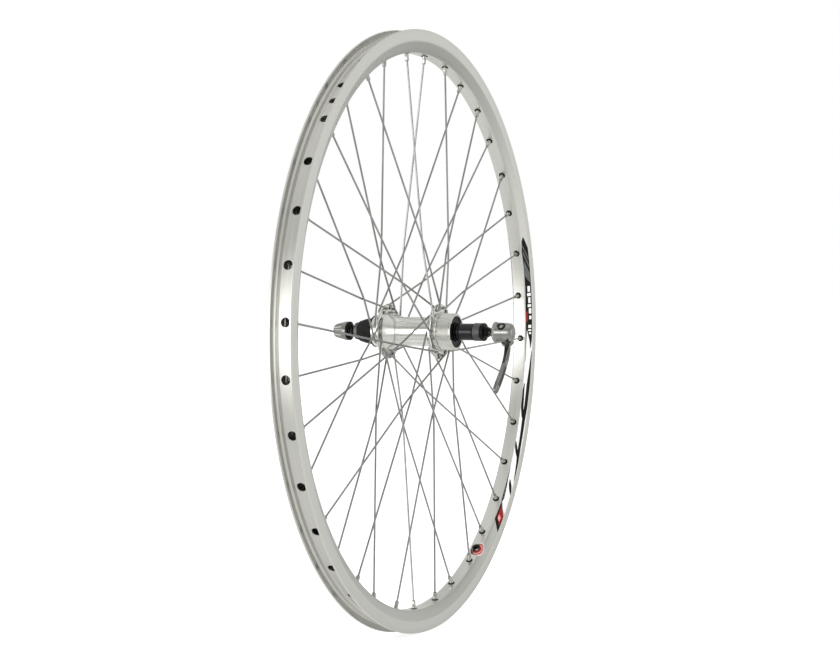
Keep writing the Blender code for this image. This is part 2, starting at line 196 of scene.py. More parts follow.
def rim_material():
    """Satin silver anodising, a brake track lightly scored round the wheel, extrusion lines, and painted shade on the
    slope below the track.
    """
    t = Tree("rim_anodised_silver")
    t.metal(0.92)
    r, a, y = around(t)
    lines = turned_lines(t, 1400.0, y, r)
    c = t.node("ShaderNodeCombineXYZ")
    t.link(t.math("MULTIPLY", a, 0.6), c.inputs["X"])
    t.link(t.math("MULTIPLY", r, 260.0), c.inputs["Y"])
    t.link(t.math("MULTIPLY", y, 260.0), c.inputs["Z"])
    streak = t.noise(3.0, 4.0, 0.6, c.outputs[0])
    # the band between radius 275 and 285.5 mm on the outer faces is the brake track
    side = t.math("GREATER_THAN", t.math("ABSOLUTE", y), 0.01065)
    inside = t.math("LESS_THAN", r, 0.2856)
    past = t.math("GREATER_THAN", r, 0.2751)
    track = t.math("MULTIPLY", side, t.math("MULTIPLY", inside, past))
    # the slope between the spoke face and the track is painted a shade darker: painted shade for the light it turns
    # away from
    low = t.math("MULTIPLY", t.math("LESS_THAN", r, 0.27455), t.math("GREATER_THAN", t.math("ABSOLUTE", y), 0.0063))
    satin = t.ramp(streak, [(0.25, (0.565, 0.565, 0.535)), (0.75, (0.655, 0.655, 0.625))])
    slope = t.ramp(streak, [(0.25, (0.44, 0.445, 0.42)), (0.75, (0.51, 0.51, 0.485))])
    machined = t.ramp(lines, [(0.25, (0.60, 0.605, 0.57)), (0.75, (0.67, 0.675, 0.64))])
    t.base(t.mix(track, t.mix(low, satin, slope), machined))
    t.rough(t.math("ADD", t.spread(streak, 0.27, 0.36), t.math("MULTIPLY", track, 0.03)))
    height = t.math("ADD", t.math("MULTIPLY", lines, t.spread(track, 0.25, 1.0, 0.0, 1.0)), t.math("MULTIPLY", t.noise(2600.0, 2.0), 0.2))
    t.bump(height, 0.10, 0.00005)
    return t.mat


def plain_material(name, dark, light, rough_low, rough_high, scale=300.0, bump=0.15, distance=0.0001, metallic=0.0, speck=None):
    """Moulded plastic, rubber or black-finished steel with an uneven, slightly worn surface."""
    t = Tree(name)
    t.metal(metallic)
    cloud = t.noise(60.0, 4.0, 0.6)
    colour = t.ramp(cloud, [(0.3, dark), (0.72, light)])
    if speck:
        dots = t.noise(1500.0, 2.0, 0.5)
        colour = t.mix(t.spread(dots, 0.0, 1.0, 0.62, 0.72), colour, speck)
    t.base(colour)
    grain = t.noise(scale, 4.0, 0.6)
    t.rough(t.spread(grain, rough_low, rough_high))
    t.bsdf.inputs["Specular IOR Level"].default_value = 0.14
    t.bump(grain, bump, distance)
    return t.mat


def printed(name, colour, rough=0.32):
    """Printed film: even ink with a faint mottle."""
    t = Tree(name)
    r, a, y = around(t)
    cloud = t.noise(220.0, 3.0, 0.6)
    dark = tuple(c * 0.86 for c in colour)
    t.base(t.ramp(cloud, [(0.3, dark), (0.7, colour)]))
    t.rough(t.spread(t.noise(900.0), rough - 0.05, rough + 0.07))
    t.bsdf.inputs["Specular IOR Level"].default_value = 0.07
    return t.mat


MAT = {
    "rim": rim_material(),
    "hub": metal_material("hub_polished_alloy", (0.60, 0.60, 0.57), (0.74, 0.74, 0.71), 0.08, 0.20, lines=1500.0, bump=0.16),
    "thread": metal_material("thread_cut_alloy", (0.62, 0.62, 0.59), (0.74, 0.74, 0.71), 0.20, 0.32, lines=2200.0, bump=0.10),
    "spoke": metal_material("spoke_drawn_stainless", (0.25, 0.255, 0.25), (0.35, 0.355, 0.345), 0.18, 0.30, grain=2200.0, bump=0.03),
    "nipple": metal_material("nipple_plated_brass", (0.30, 0.30, 0.285), (0.46, 0.46, 0.435), 0.14, 0.26, grain=2000.0, bump=0.08),
    "eyelet": metal_material("eyelet_dark_steel", (0.018, 0.018, 0.018), (0.05, 0.05, 0.048), 0.25, 0.40, grain=2400.0, bump=0.10),
    "bearing": metal_material("bearing_ground_steel", (0.50, 0.50, 0.52), (0.62, 0.62, 0.63), 0.10, 0.18, lines=2400.0, bump=0.05),
    "ball": metal_material("ball_lapped_steel", (0.60, 0.60, 0.62), (0.70, 0.70, 0.72), 0.04, 0.09, grain=1200.0, bump=0.02),
    "cage": metal_material("cage_pressed_steel", (0.40, 0.36, 0.26), (0.52, 0.47, 0.34), 0.22, 0.34, grain=1500.0, bump=0.10),
    "dark": metal_material("axle_parts_dark_plated", (0.030, 0.031, 0.032), (0.060, 0.061, 0.063), 0.14, 0.24, lines=1500.0, bump=0.08),
    "knurl": metal_material("locknut_blasted_grey", (0.085, 0.085, 0.083), (0.19, 0.19, 0.185), 0.34, 0.52, grain=1500.0, bump=0.55),
    "blacksteel": metal_material("black_oxide_steel", (0.012, 0.012, 0.012), (0.030, 0.030, 0.030), 0.28, 0.45, grain=1600.0, bump=0.20),
    "housing": metal_material("skewer_polished_alloy", (0.22, 0.22, 0.212), (0.37, 0.37, 0.352), 0.08, 0.19, lines=1300.0, bump=0.14),
    "lever": metal_material("lever_dark_chrome", (0.17, 0.17, 0.165), (0.33, 0.33, 0.315), 0.08, 0.16, grain=900.0, bump=0.06),
    # painted shade: the recess material's dark tone stands in for the shade inside the lever's channels and groove
    "recess": metal_material("lever_recess_painted_shade", (0.045, 0.045, 0.044), (0.10, 0.10, 0.097), 0.22, 0.36, grain=1300.0, bump=0.10),
    "plastic": plain_material("dust_cap_black_plastic", (0.004, 0.004, 0.004), (0.010, 0.010, 0.010), 0.30, 0.48, 700.0, 0.18),
    "rubber": plain_material("boot_black_rubber", (0.006, 0.006, 0.006), (0.014, 0.014, 0.014), 0.50, 0.70, 1100.0, 0.35, speck=(0.022, 0.022, 0.022)),
    "nylon": plain_material("nut_insert_blue_grey_nylon", (0.30, 0.31, 0.33), (0.42, 0.43, 0.45), 0.35, 0.5, 600.0, 0.12),
    "ink_black": printed("decal_black_ink", (0.005, 0.005, 0.0055)),
    "ink_grey": printed("decal_grey_ink", (0.115, 0.118, 0.120)),
    "ink_white": printed("decal_white_film", (0.86, 0.87, 0.87)),
    "ink_red": printed("decal_red_ink", (0.30, 0.016, 0.014)),
    "ink_rose": printed("decal_light_red_ink", (0.86, 0.36, 0.30)),
    "ink_pink": printed("sticker_pink_ink", (0.66, 0.27, 0.25)),
    "ink_pale": printed("sticker_pale_ink", (0.66, 0.55, 0.53)),
    "ink_stone": printed("sticker_stone_ink", (0.34, 0.30, 0.28)),
}


# ================================================================================================
# Mesh helpers
# ================================================================================================
def mesh_piece(name, verts, faces, mats, smooth=32.0, indices=None):
    """A new object from points in millimetres."""
    me = bpy.data.meshes.new(name)
    me.from_pydata([tuple(float(c) * MM for c in v) for v in verts], [], [tuple(int(i) for i in f) for f in faces])
    for m in mats if isinstance(mats, (list, tuple)) else [mats]:
        me.materials.append(m)
    if indices is not None:
        me.polygons.foreach_set("material_index", np.array(indices, dtype=np.int32))
    me.update()
    o = bpy.data.objects.new(name, me)
    bpy.context.scene.collection.objects.link(o)
    soften(o, smooth)
    return o


def soften(o, angle=32.0):
    me = o.data
    me.polygons.foreach_set("use_smooth", [True] * len(me.polygons))
    me.set_sharp_from_angle(angle=math.radians(angle))
    me.update()


def fix_normals(o):
    bm = bmesh.new()
    bm.from_mesh(o.data)
    bmesh.ops.recalc_face_normals(bm, faces=bm.faces[:])
    bm.to_mesh(o.data)
    bm.free()


def merge(o, gap=0.000002):
    bm = bmesh.new()
    bm.from_mesh(o.data)
    bmesh.ops.remove_doubles(bm, verts=bm.verts[:], dist=gap)
    bmesh.ops.dissolve_degenerate(bm, edges=bm.edges[:], dist=gap)
    bm.to_mesh(o.data)
    bm.free()


def spun(name, outline, segs, mats, smooth=32.0, shape=None, pick=None):
    """Spins a closed outline of (y, r) about the axle.  Points at r = 0 become one pole point.

    shape(y, r, angle) may return a changed radius, for knurls, flutes and teeth.
    pick(y, r) gives the material index of the band that starts at that point."""
    verts, rows = [], []
    for y, r in outline:
        if r == 0.0:
            rows.append([len(verts)])
            verts.append((0.0, y, 0.0))
            continue
        row = []
        for i in range(segs):
            a = TAU * i / segs
            rr, yy = r, y
            if shape:
                got = shape(y, r, a)
                rr, yy = got if isinstance(got, tuple) else (got, y)
            row.append(len(verts))
            verts.append((rr * math.cos(a), yy, rr * math.sin(a)))
        rows.append(row)
    faces, idx = [], []
    pairs = list(zip(range(len(rows)), range(1, len(rows))))
    if not (len(rows[0]) == 1 and len(rows[-1]) == 1):
        pairs.append((len(rows) - 1, 0))
    for p, q in pairs:
        A, B = rows[p], rows[q]
        m = pick(*outline[p]) if pick else 0
        if len(A) == 1 and len(B) == 1:
            continue
        for i in range(segs):
            j = (i + 1) % segs
            if len(A) == 1:
                faces.append((A[0], B[i], B[j]))
            elif len(B) == 1:
                faces.append((A[i], B[0], A[j]))
            else:
                faces.append((A[i], B[i], B[j], A[j]))
            idx.append(m)
    o = mesh_piece(name, verts, faces, mats, smooth, idx)
    fix_normals(o)
    soften(o, smooth)
    return o


def rounded(points, radius, steps=3, closed=True):
    """Replaces each sharp corner of a (y, r) outline by a short arc."""
    n, out = len(points), []
    rad = radius if isinstance(radius, (list, tuple)) else [radius] * n
    for i in range(n):
        p = Vector(points[i])
        k = rad[i]
        if k <= 0 or (not closed and i in (0, n - 1)):
            out.append(tuple(p))
            continue
        a, b = Vector(points[i - 1]), Vector(points[(i + 1) % n])
        k1 = min(k, (a - p).length * 0.45)
        k2 = min(k, (b - p).length * 0.45)
        s, e = p + (a - p).normalized() * k1, p + (b - p).normalized() * k2
        for j in range(steps + 1):
            f = j / steps
            q = s * (1 - f) ** 2 + p * (2 * f * (1 - f)) + e * f ** 2
            out.append(tuple(q))
    return out


def loop_at(centre, normal, radii, sides, across):
    """Points of a ring; radii is a number or a function of the angle."""
    n = np.array(normal, float)
    n /= np.linalg.norm(n)
    u = np.array(across, float)
    u = u - n * u.dot(n)
    u /= np.linalg.norm(u)
    v = np.cross(n, u)
    c = np.array(centre, float)
    pts = []
    for i in range(sides):
        a = TAU * i / sides
        r = radii(a) if callable(radii) else radii
        pts.append(c + u * (math.cos(a) * r) + v * (math.sin(a) * r))
    return pts


def lofted(loops, cap=True, base=0):
    """Vertices and faces of a skin through equal loops."""
    n = len(loops[0])
    verts = [p for lp in loops for p in lp]
    faces = []
    for k in range(len(loops) - 1):
        a, b = base + k * n, base + (k + 1) * n
        for i in range(n):
            j = (i + 1) % n
            faces.append((a + i, a + j, b + j, b + i))
    if cap:
        faces.append(tuple(base + i for i in reversed(range(n))))
        faces.append(tuple(base + (len(loops) - 1) * n + i for i in range(n)))
    return verts, faces


def joined(name, parts, mats, smooth=32.0, indices=None):
    """One object from several (verts, faces) lists."""
    verts, faces, idx = [], [], []
    for k, (v, f) in enumerate(parts):
        off = len(verts)
        verts += list(v)
        faces += [tuple(i + off for i in face) for face in f]
        idx += [indices[k] if indices else 0] * len(f)
    o = mesh_piece(name, verts, faces, mats, smooth, idx)
    fix_normals(o)
    soften(o, smooth)
    return o


def cut(obj, cutter, smooth=32.0, operation="DIFFERENCE"):
    """Applies a boolean and removes the cutter."""
    mod = obj.modifiers.new("cut", "BOOLEAN")
    mod.operation = operation
    mod.object = cutter
    mod.solver = "EXACT"
    dg = bpy.context.evaluated_depsgraph_get()
    me = bpy.data.meshes.new_from_object(obj.evaluated_get(dg))
    obj.modifiers.remove(mod)
    old = obj.data
    obj.data = me
    bpy.data.meshes.remove(old)
    gone = cutter.data
    bpy.data.objects.remove(cutter)
    bpy.data.meshes.remove(gone)
    soften(obj, smooth)
    return obj


def on_body(o, body, nodes=()):
    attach(o, body)
    if nodes:
        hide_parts(*([nodes] if isinstance(nodes, str) else nodes))
    return o


def polar(radius, deg, y):
    a = math.radians(deg)
    return np.array([radius * math.cos(a), y, radius * math.sin(a)])


def pins(specs, sides=28):
    """Several straight pins (point, direction, [(along, radius, shift)...], across) in one cutter."""
    parts = []
    for point, direction, steps, across in specs:
        d = np.array(direction, float) / np.linalg.norm(direction)
        loops = [loop_at(np.array(point, float) + d * s + np.array(shift, float), d, r, sides, across) for s, r, shift in steps]
        parts.append(lofted(loops))
    return joined("cutter", parts, MAT["rim"])


NONE = (0.0, 0.0, 0.0)

# ================================================================================================
# Rim
# ================================================================================================
SPOKES, FIRST = 36, 97.3
VALVE = FIRST - 155.0
NIP_Y = 0.9


def spoke_rows():
    rows = []
    for k in range(SPOKES):
        side = -1 if k % 2 == 0 else 1
        j = k // 2
        outside = (side == -1 and j % 2 == 0) or (side == 1 and j % 2 == 1)
        rows.append((k, FIRST - 10.0 * k, side, outside))
    return rows


half = [
    (5.55, 264.30), (6.05, 264.36), (6.42, 264.70),              # spoke face edge
    (8.30, 269.02), (10.36, 273.72), (10.66, 274.42), (10.75, 275.05),  # slope, wear line at the foot of the track
    (10.62, 275.30), (10.75, 275.55), (10.75, 280.4), (10.75, 285.05), (10.66, 285.60), (10.35, 285.93),
    (9.75, 286.0), (9.20, 285.90), (8.88, 285.50), (8.90, 285.05), (9.35, 284.45), (9.45, 283.8),
    (9.45, 281.0), (9.20, 280.15), (8.70, 279.78), (7.85, 279.60), (7.35, 279.30), (6.45, 277.15), (5.75, 276.45), (4.9, 276.2),
]
profile = half + [(-y, r) for y, r in reversed(half)]
rim = spun("rim_extrusion", profile, 540, MAT["rim"], 24.0)
hollow_half = [(4.9, 265.75), (5.6, 266.2), (9.0, 274.0), (9.25, 275.0), (9.0, 275.3), (7.2, 275.4), (5.4, 274.9)]
hollow = spun("cutter", hollow_half + [(-y, r) for y, r in reversed(hollow_half)], 540, MAT["rim"])
cut(rim, hollow, 24.0)
specs = []
for k, deg, side, outside in spoke_rows():
    d = polar(1.0, deg, 0.0)
    specs.append(((0, side * NIP_Y, 0), d, [(262.0, 2.35, NONE), (269.4, 2.35, NONE), (270.4, 4.25, (0, -side * 0.5, 0)),
                                           (290.0, 4.25, (0, -side * 0.5, 0))], (0, 1, 0)))
specs.append(((0, 0, 0), polar(1.0, VALVE, 0), [(262.0, 4.3, NONE), (290.0, 4.3, NONE)], (0, 1, 0)))
specs.append(((0, 0, 0), polar(1.0, FIRST + 35.0, 0), [(270.5, 3.7, NONE), (290.0, 3.7, NONE)], (0, 1, 0)))
cut(rim, pins(specs, 24), 24.0)
on_body(rim, "wheel", "rim")

# Steel eyelets: a rolled dark ring round every nipple hole on the spoke face
parts = []
for k, deg, side, outside in spoke_rows():
    d = polar(1.0, deg, 0.0)
    foot = np.array([0, side * NIP_Y, 0.0])
    sec = [(2.32, 264.9), (2.12, 264.45), (2.18, 264.02), (2.55, 263.78), (3.05, 263.86), (3.38, 264.08), (3.46, 264.26), (3.1, 264.55), (2.6, 265.2)]
    loops = [loop_at(foot + d * s, d, r, 24, (0, 1, 0)) for r, s in sec]
    v, f = lofted(loops, cap=False)
    n, m = 24, len(sec)
    f += [((m - 1) * n + i, (m - 1) * n + (i + 1) % n, (i + 1) % n, i) for i in range(n)]
    parts.append((v, f))
eyelets = joined("rim_eyelets", parts, MAT["eyelet"], 50.0)
on_body(eyelets, "wheel", ())


# Printed decals on the slopes: thin plates that follow the cone, one layer on another
def slope_point(deg, v, side, lift):
    r = 264.7 + v * 9.7
    y = 6.42 + v * 4.24
    n = np.array([0.9163, -0.4004])     # outward (y, r) of the slope
    y, r = y + n[0] * lift, r + n[1] * lift
    a = math.radians(deg)
    return (r * math.cos(a), side * y, r * math.sin(a))


def patch(corners, side, lift, thick=0.03):
    """A thin plate over four corners given as (degrees, share of the slope's width)."""
    (a0, v0), (a1, v1), (a2, v2), (a3, v3) = corners
    span = max(abs(a1 - a0), abs(a2 - a3), abs(a3 - a0), abs(a2 - a1))
    nu = max(2, int(span / 0.6) + 1)
    nv = nu if abs(a3 - a0) > 2 and abs(a1 - a0) < 2 else 3
    if abs(a3 - a0) > 2 and abs(a1 - a0) < 2:
        nu = 3
    verts, faces = [], []
    for layer in (lift, lift - thick):
        for i in range(nu + 1):
            for j in range(nv + 1):
                s, t = i / nu, j / nv
                deg = (a0 * (1 - s) + a1 * s) * (1 - t) + (a3 * (1 - s) + a2 * s) * t
                v = (v0 * (1 - s) + v1 * s) * (1 - t) + (v3 * (1 - s) + v2 * s) * t
                verts.append(slope_point(deg, v, side, layer))
    step, lay = nv + 1, (nu + 1) * (nv + 1)
    for i in range(nu):
        for j in range(nv):
            a, b, c, d = i * step + j, (i + 1) * step + j, (i + 1) * step + j + 1, i * step + j + 1
            faces += [(a, b, c, d), (lay + a, lay + d, lay + c, lay + b)]
    for i in range(nu):
        a, b = i * step, (i + 1) * step
        faces.append((a, lay + a, lay + b, b))
        a, b = i * step + nv, (i + 1) * step + nv
        faces.append((a, b, lay + b, lay + a))
    for j in range(nv):
        a, b = j, j + 1
        faces.append((a, b, lay + b, lay + a))
        a, b = nu * step + j, nu * step + j + 1
        faces.append((a, lay + a, lay + b, b))
    return verts, faces


WHITE, BLACK, GREY, RED, ROSE = range(5)
decal = []


def put(colour, layer, *corners):
    decal.append((colour, layer, corners))


def strip(colour, layer, rows):
    """A band whose two edges are given as rows of (degrees, low share, degrees, high share)."""
    for (a0, l0, b0, h0), (a1, l1, b1, h1) in zip(rows, rows[1:]):
        put(colour, layer, (a0, l0), (a1, l1), (b1, h1), (b0, h0))


# white ground from the dark head to the pointed tail
strip(WHITE, 0, [(9.5, 0.10, 9.5, 0.99), (0.5, 0.06, 0.5, 0.99), (-20.0, 0.04, -20.0, 0.99), (-34.0, 0.05, -34.0, 0.99),
                 (-39.0, 0.08, -39.0, 0.99), (-42.6, 0.20, -42.6, 0.99), (-44.6, 0.60, -45.2, 0.99)])
# dark head, cut to a point, running out along the outer edge
strip(BLACK, 1, [(20.9, 0.46, 20.8, 0.54), (20.1, 0.22, 19.6, 0.74), (17.6, 0.06, 18.0, 0.98), (14.1, 0.12, 14.1, 0.99),
                 (10.0, 0.12, 10.0, 0.99), (3.3, 0.06, 3.3, 0.99), (0.7, 0.08, 0.7, 0.99), (-1.3, 0.30, -1.3, 0.99),
                 (-3.2, 0.62, -3.2, 0.95), (-4.9, 0.74, -4.9, 0.80)])
strip(BLACK, 1, [(0.7, 0.07, 0.7, 0.24), (-3.5, 0.06, -3.5, 0.17), (-8.3, 0.09, -8.3, 0.12)])
# slanting grey bars in the head
for a, weight in ((19.5, 0.7), (17.9, 0.95)):
    put(GREY, 2, (a, 0.18), (a - weight, 0.18), (a - 3.7 - weight, 0.90), (a - 3.7, 0.90))
put(GREY, 2, (15.7, 0.16), (11.8, 0.16), (9.9, 0.92), (12.2, 0.92))
# plain light blocks of uneven length on the dark band
for a0, a1, v0, v1 in ((9.3, 8.0, 0.44, 0.80), (7.7, 7.0, 0.36, 0.86), (6.7, 5.4, 0.48, 0.80), (5.1, 4.5, 0.38, 0.86),
                       (4.2, 3.0, 0.52, 0.88), (2.5, 1.7, 0.56, 0.88), (0.4, -0.3, 0.42, 0.84), (-0.6, -1.0, 0.42, 0.84),
                       (-1.3, -1.7, 0.52, 0.84)):
    put(WHITE, 3, (a0, v0), (a1, v0), (a1, v1), (a0, v1))
put(RED, 3, (3.5, 0.12), (1.1, 0.14), (1.1, 0.35), (3.5, 0.36))
# broad line along the outer edge with slanting strokes running into it
strip(BLACK, 1, [(-5.6, 0.92, -5.6, 0.99), (-9.9, 0.70, -9.9, 0.99), (-13.4, 0.54, -13.4, 0.99), (-18.4, 0.50, -18.4, 0.96),
                 (-21.5, 0.44, -21.5, 0.88), (-26.7, 0.52, -26.7, 0.88), (-29.9, 0.56, -29.9, 0.94), (-31.8, 0.68, -31.8, 0.98),
                 (-34.6, 0.84, -34.6, 0.99), (-36.5, 0.95, -36.5, 0.99)])
strip(BLACK, 1, [(-13.2, 0.16, -13.2, 0.27), (-14.9, 0.05, -14.9, 0.30), (-18.8, 0.05, -18.8, 0.42), (-20.7, 0.26, -20.7, 0.62), (-21.6, 0.46, -21.6, 0.66)])
strip(BLACK, 1, [(-27.2, 0.05, -27.2, 0.14), (-28.5, 0.06, -28.5, 0.44), (-29.9, 0.34, -29.9, 0.70), (-31.2, 0.72, -31.2, 0.80)])
strip(BLACK, 1, [(-36.7, 0.38, -36.7, 0.48), (-37.9, 0.40, -37.9, 0.84), (-39.1, 0.64, -39.1, 0.99), (-40.2, 0.97, -40.2, 0.99)])
strip(BLACK, 1, [(-33.6, 0.04, -33.6, 0.06), (-36.9, 0.04, -36.9, 0.15), (-39.4, 0.05, -39.4, 0.26), (-42.0, 0.06, -42.0, 0.34), (-43.2, 0.12, -43.2, 0.17)])
for a in (-39.0, -40.2, -41.4):
    put(GREY, 2, (a, 0.09), (a - 0.6, 0.09), (a - 0.9, 0.24), (a - 0.3, 0.24))
# long red lozenge with dark ends and a light centre
put(BLACK, 1, (-43.1, 0.13), (-48.3, 0.04), (-50.6, 0.97), (-46.1, 0.99))
put(RED, 2, (-43.8, 0.26), (-47.4, 0.24), (-48.8, 0.84), (-46.1, 0.96))
put(ROSE, 3, (-46.4, 0.36), (-47.6, 0.36), (-48.0, 0.66), (-46.9, 0.70))
INKS = [MAT["ink_white"], MAT["ink_black"], MAT["ink_grey"], MAT["ink_red"], MAT["ink_rose"]]
for side, label in ((-1, "right"), (1, "left")):
    parts = [patch(c, side, 0.05 + 0.035 * layer) for colour, layer, c in decal]
    o = joined("rim_decal_" + label, parts, INKS, 40.0, [c[0] for c in decal])
    on_body(o, "wheel")

# Oval ring sticker round the valve hole: it lies on the spoke face and folds over the slope's edge
def drape(a, b, lift):
    """Row-frame point for a mm across (towards the sprocket side) and b mm down the arc from the valve hole."""
    ang = math.radians(VALVE) - b / 264.3
    if a <= 6.0:
        y, r = a, 264.3 - lift
    else:
        d = a - 6.0
        f = min(1.0, d / 0.8)
        y, r = 6.0 + d * (1 - f) + f * (0.22 + 0.40 * d), 264.3 + f * (0.10 + 0.9163 * d) - lift * 0.45
        y += lift * 0.9 * f
    return (r * math.cos(ang), -y, r * math.sin(ang))


ring_a, ring_b, long_b = 2.6, 4.3, 1.37
radii = [0.0, 0.7, 1.5, 1.9, 2.3, 2.75, 3.2, 3.7, 4.2, 4.7, 5.2, 5.7, 6.2, 6.6, 7.0, 7.5, 8.0]
cols = 96
grid = {}
verts, faces, idx = [], [], []
for layer, lift in enumerate((0.07, 0.01)):
    for j, q in enumerate(radii):
        for i in range(cols):
            t = TAU * i / cols
            a, b = ring_a + q * math.cos(t), ring_b + q * long_b * math.sin(t)
            a = max(a, -6.05)
            gap = math.hypot(a, b)
            inside = gap < 4.42
            if inside and gap > 1e-6:
                a, b = a * 4.42 / gap, b * 4.42 / gap
            grid[layer, j, i] = (len(verts), inside, a <= -6.04)
            verts.append(drape(a, b, lift))
kept = set()
for j in range(len(radii) - 1):
    for i in range(cols):
        k = (i + 1) % cols
        four = [grid[0, j, i], grid[0, j + 1, i], grid[0, j + 1, k], grid[0, j, k]]
        if all(f[1] for f in four) or all(f[2] for f in four):
            continue
        q = (radii[j] + radii[j + 1]) / 2
        t = TAU * (i + 0.5) / cols
        left = math.cos(t) * q + ring_a < 0.6
        ink = 5 if q < 1.5 else 1 if q < 2.3 else 0 if q < 4.2 else 3 if q < 5.7 else 0 if q < 6.6 else 2
        if left and ink in (0, 3):
            ink = 1 if q > 5.7 or ink == 0 else 4
        kept.add((j, i))
        faces.append(tuple(f[0] for f in four))
        idx.append(ink)
        faces.append(tuple(grid[1, *f][0] for f in ((j, i), (j, k), (j + 1, k), (j + 1, i))))
        idx.append(ink)
for j, i in kept:
    k = (i + 1) % cols
    for other, e0, e1 in (((j - 1, i), (j, i), (j, k)), ((j + 1, i), (j + 1, i), (j + 1, k)),
                          ((j, (i - 1) % cols), (j, i), (j + 1, i)), ((j, k), (j, k), (j + 1, k))):
        if other not in kept:
            faces.append((grid[0, *e0][0], grid[0, *e1][0], grid[1, *e1][0], grid[1, *e0][0]))
            idx.append(1)
sticker = mesh_piece("valve_hole_sticker", verts, faces, [MAT["ink_red"], MAT["ink_black"], MAT["ink_pale"], MAT["ink_pink"], MAT["ink_grey"], MAT["ink_stone"]], 40.0, idx)
merge(sticker)
fix_normals(sticker)
on_body(sticker, "wheel")

# ================================================================================================
# Spokes and nipples
# ================================================================================================
T, RF_Y, LF_Y, HOLE_R, TURN = 1.6, -20.2, 33.3, 22.75, 60.0


def spoke_path(deg, side, outside):
    hole_deg = deg + (TURN if outside else -TURN)
    flange_y = RF_Y if side == -1 else LF_Y
    lean = side if outside else -side
    run = (3.97 if side == -1 else 4.4) if outside else 2.95
    hub_p = polar(HOLE_R, hole_deg, flange_y)
    line = polar(HOLE_R, hole_deg, flange_y + lean * run)
    rim_p = polar(264.3, deg, side * NIP_Y)
    cross = line + (rim_p - line) * 0.2775
    cross[1] = flange_y + 0.2775 * (side * NIP_Y - flange_y) + (-side if outside else side) * 1.15
    return hub_p, line, cross, rim_p, np.array([0.0, float(lean), 0.0])


def unit(v):
    return v / np.linalg.norm(v)


for k, deg, side, outside in spoke_rows():
    hub_p, line, cross, rim_p, along = spoke_path(deg, side, outside)
    d1, d2 = unit(cross - line), unit(rim_p - cross)
    pts, rad = [], []
    head = T + 0.3
    # rounded head, neck, and the elbow as a smooth arc
    for s, r in ((head + 1.12, 0.35), (head + 1.1, 0.95), (head + 0.98, 1.45), (head + 0.75, 1.78), (head + 0.45, 1.86), (head + 0.2, 1.55), (head, 1.08)):
        pts.append((hub_p - along * s, along)); rad.append(r)
    pts.append((hub_p, along)); rad.append(1.0)
    start, corner, end = line - along * 1.7, line, line + d1 * 1.9
    for i in range(9):
        f = i / 8
        p = start * (1 - f) ** 2 + corner * (2 * f * (1 - f)) + end * f ** 2
        t = unit((corner - start) * (1 - f) + (end - corner) * f)
        pts.append((p, t)); rad.append(1.0)
    # straight runs, with an easy bend where the pair touches
    length = np.linalg.norm(cross - end)
    for f in (0.25, 0.5, 0.75):
        pts.append((end + (cross - end) * f, d1)); rad.append(0.9)
    a, b = cross - d1 * 6.0, cross + d2 * 6.0
    for i in range(7):
        f = i / 6
        p = a * (1 - f) ** 2 + cross * (2 * f * (1 - f)) + b * f ** 2
        pts.append((p, unit((cross - a) * (1 - f) + (b - cross) * f))); rad.append(0.9)
    stop = rim_p - d2 * 4.0
    for f in (0.25, 0.5, 0.75, 1.0):
        pts.append((b + (stop - b) * f, d2)); rad.append(0.9)
    up = unit(np.cross(np.array([0.0, 1.0, 0.0]), d2))
    if abs(np.dot(up, along)) > 0.9:
        up = np.array([1.0, 0, 0])
    loops = [loop_at(p, t, r, 12, up) for (p, t), r in zip(pts, rad)]
    v, f = lofted(loops)
    o = joined("spoke_%02d_wire" % (k + 1), [(v, f)], MAT["spoke"], 40.0)
    on_body(o, "wheel", "spoke_%02d" % (k + 1))

    # nipple: a lip, a square shank with rounded corners, a round neck through the rim and a head
    sq = lambda half_w, round_w: (lambda a: min(half_w / max(abs(math.cos(a)), abs(math.sin(a)), 1e-6), round_w))
    steps = [(-7.7, 1.12), (-7.65, 1.45), (-7.4, 1.72), (-6.9, 1.82), (-6.6, 1.82), (-6.45, sq(1.58, 1.93)), (-5.0, sq(1.58, 1.93)),
             (-2.6, sq(1.60, 1.95)), (-2.2, 1.95), (-0.3, 1.97), (2.0, 1.98), (2.2, 2.2), (2.45, 2.95), (2.9, 3.05), (3.6, 2.85), (4.1, 2.2), (4.2, 1.2)]
    loops = [loop_at(rim_p + d2 * s, d2, r, 24, up) for s, r in steps]
    v, f = lofted(loops, cap=False)
    n, m = 24, len(steps)
    f += [((m - 1) * n + i, (m - 1) * n + (i + 1) % n, (i + 1) % n, i) for i in range(n)]
    o = joined("nipple_%02d" % (k + 1), [(v, f)], MAT["nipple"], 32.0)
    on_body(o, "wheel", ())

# ================================================================================================
# Hub shell
# ================================================================================================
L, Rf = LF_Y, RF_Y
outer = [
    (46.0, 13.3), (46.0, 14.6), (45.6, 15.0), (44.2, 15.05), (36.8, 15.55), (35.6, 16.4), (34.95, 17.6),
    (34.9, 19.2), (34.9, 24.6), (34.75, 25.6), (34.3, 26.3), (33.6, 26.62), (33.0, 26.62), (32.3, 26.3), (31.85, 25.6), (31.7, 24.6),
    (31.7, 20.4), (31.2, 19.3), (29.6, 18.35), (26.0, 16.75), (22.5, 15.3), (19.8, 14.45), (17.2, 13.95), (14.5, 13.8),
    (13.4, 13.75), (-13.0, 13.75), (-14.6, 13.95), (-16.4, 15.2), (-17.8, 16.9), (-18.6, 18.2), (-18.6, 19.4),
    (-18.6, 24.6), (-18.75, 25.6), (-19.2, 26.3), (-19.9, 26.62), (-20.5, 26.62), (-21.2, 26.3), (-21.65, 25.6), (-21.8, 24.6),
    (-21.8, 18.9), (-22.1, 18.35), (-22.7, 18.2), (-23.3, 17.5), (-23.5, 16.95), (-24.0, 16.9), (-24.3, 17.0)]
inner = [(-38.0, 15.2), (-35.8, 15.2), (-35.8, 13.3), (-26.7, 13.3), (-26.7, 8.6), (35.7, 8.6), (35.7, 13.3)]
pitch = 25.4 / 24
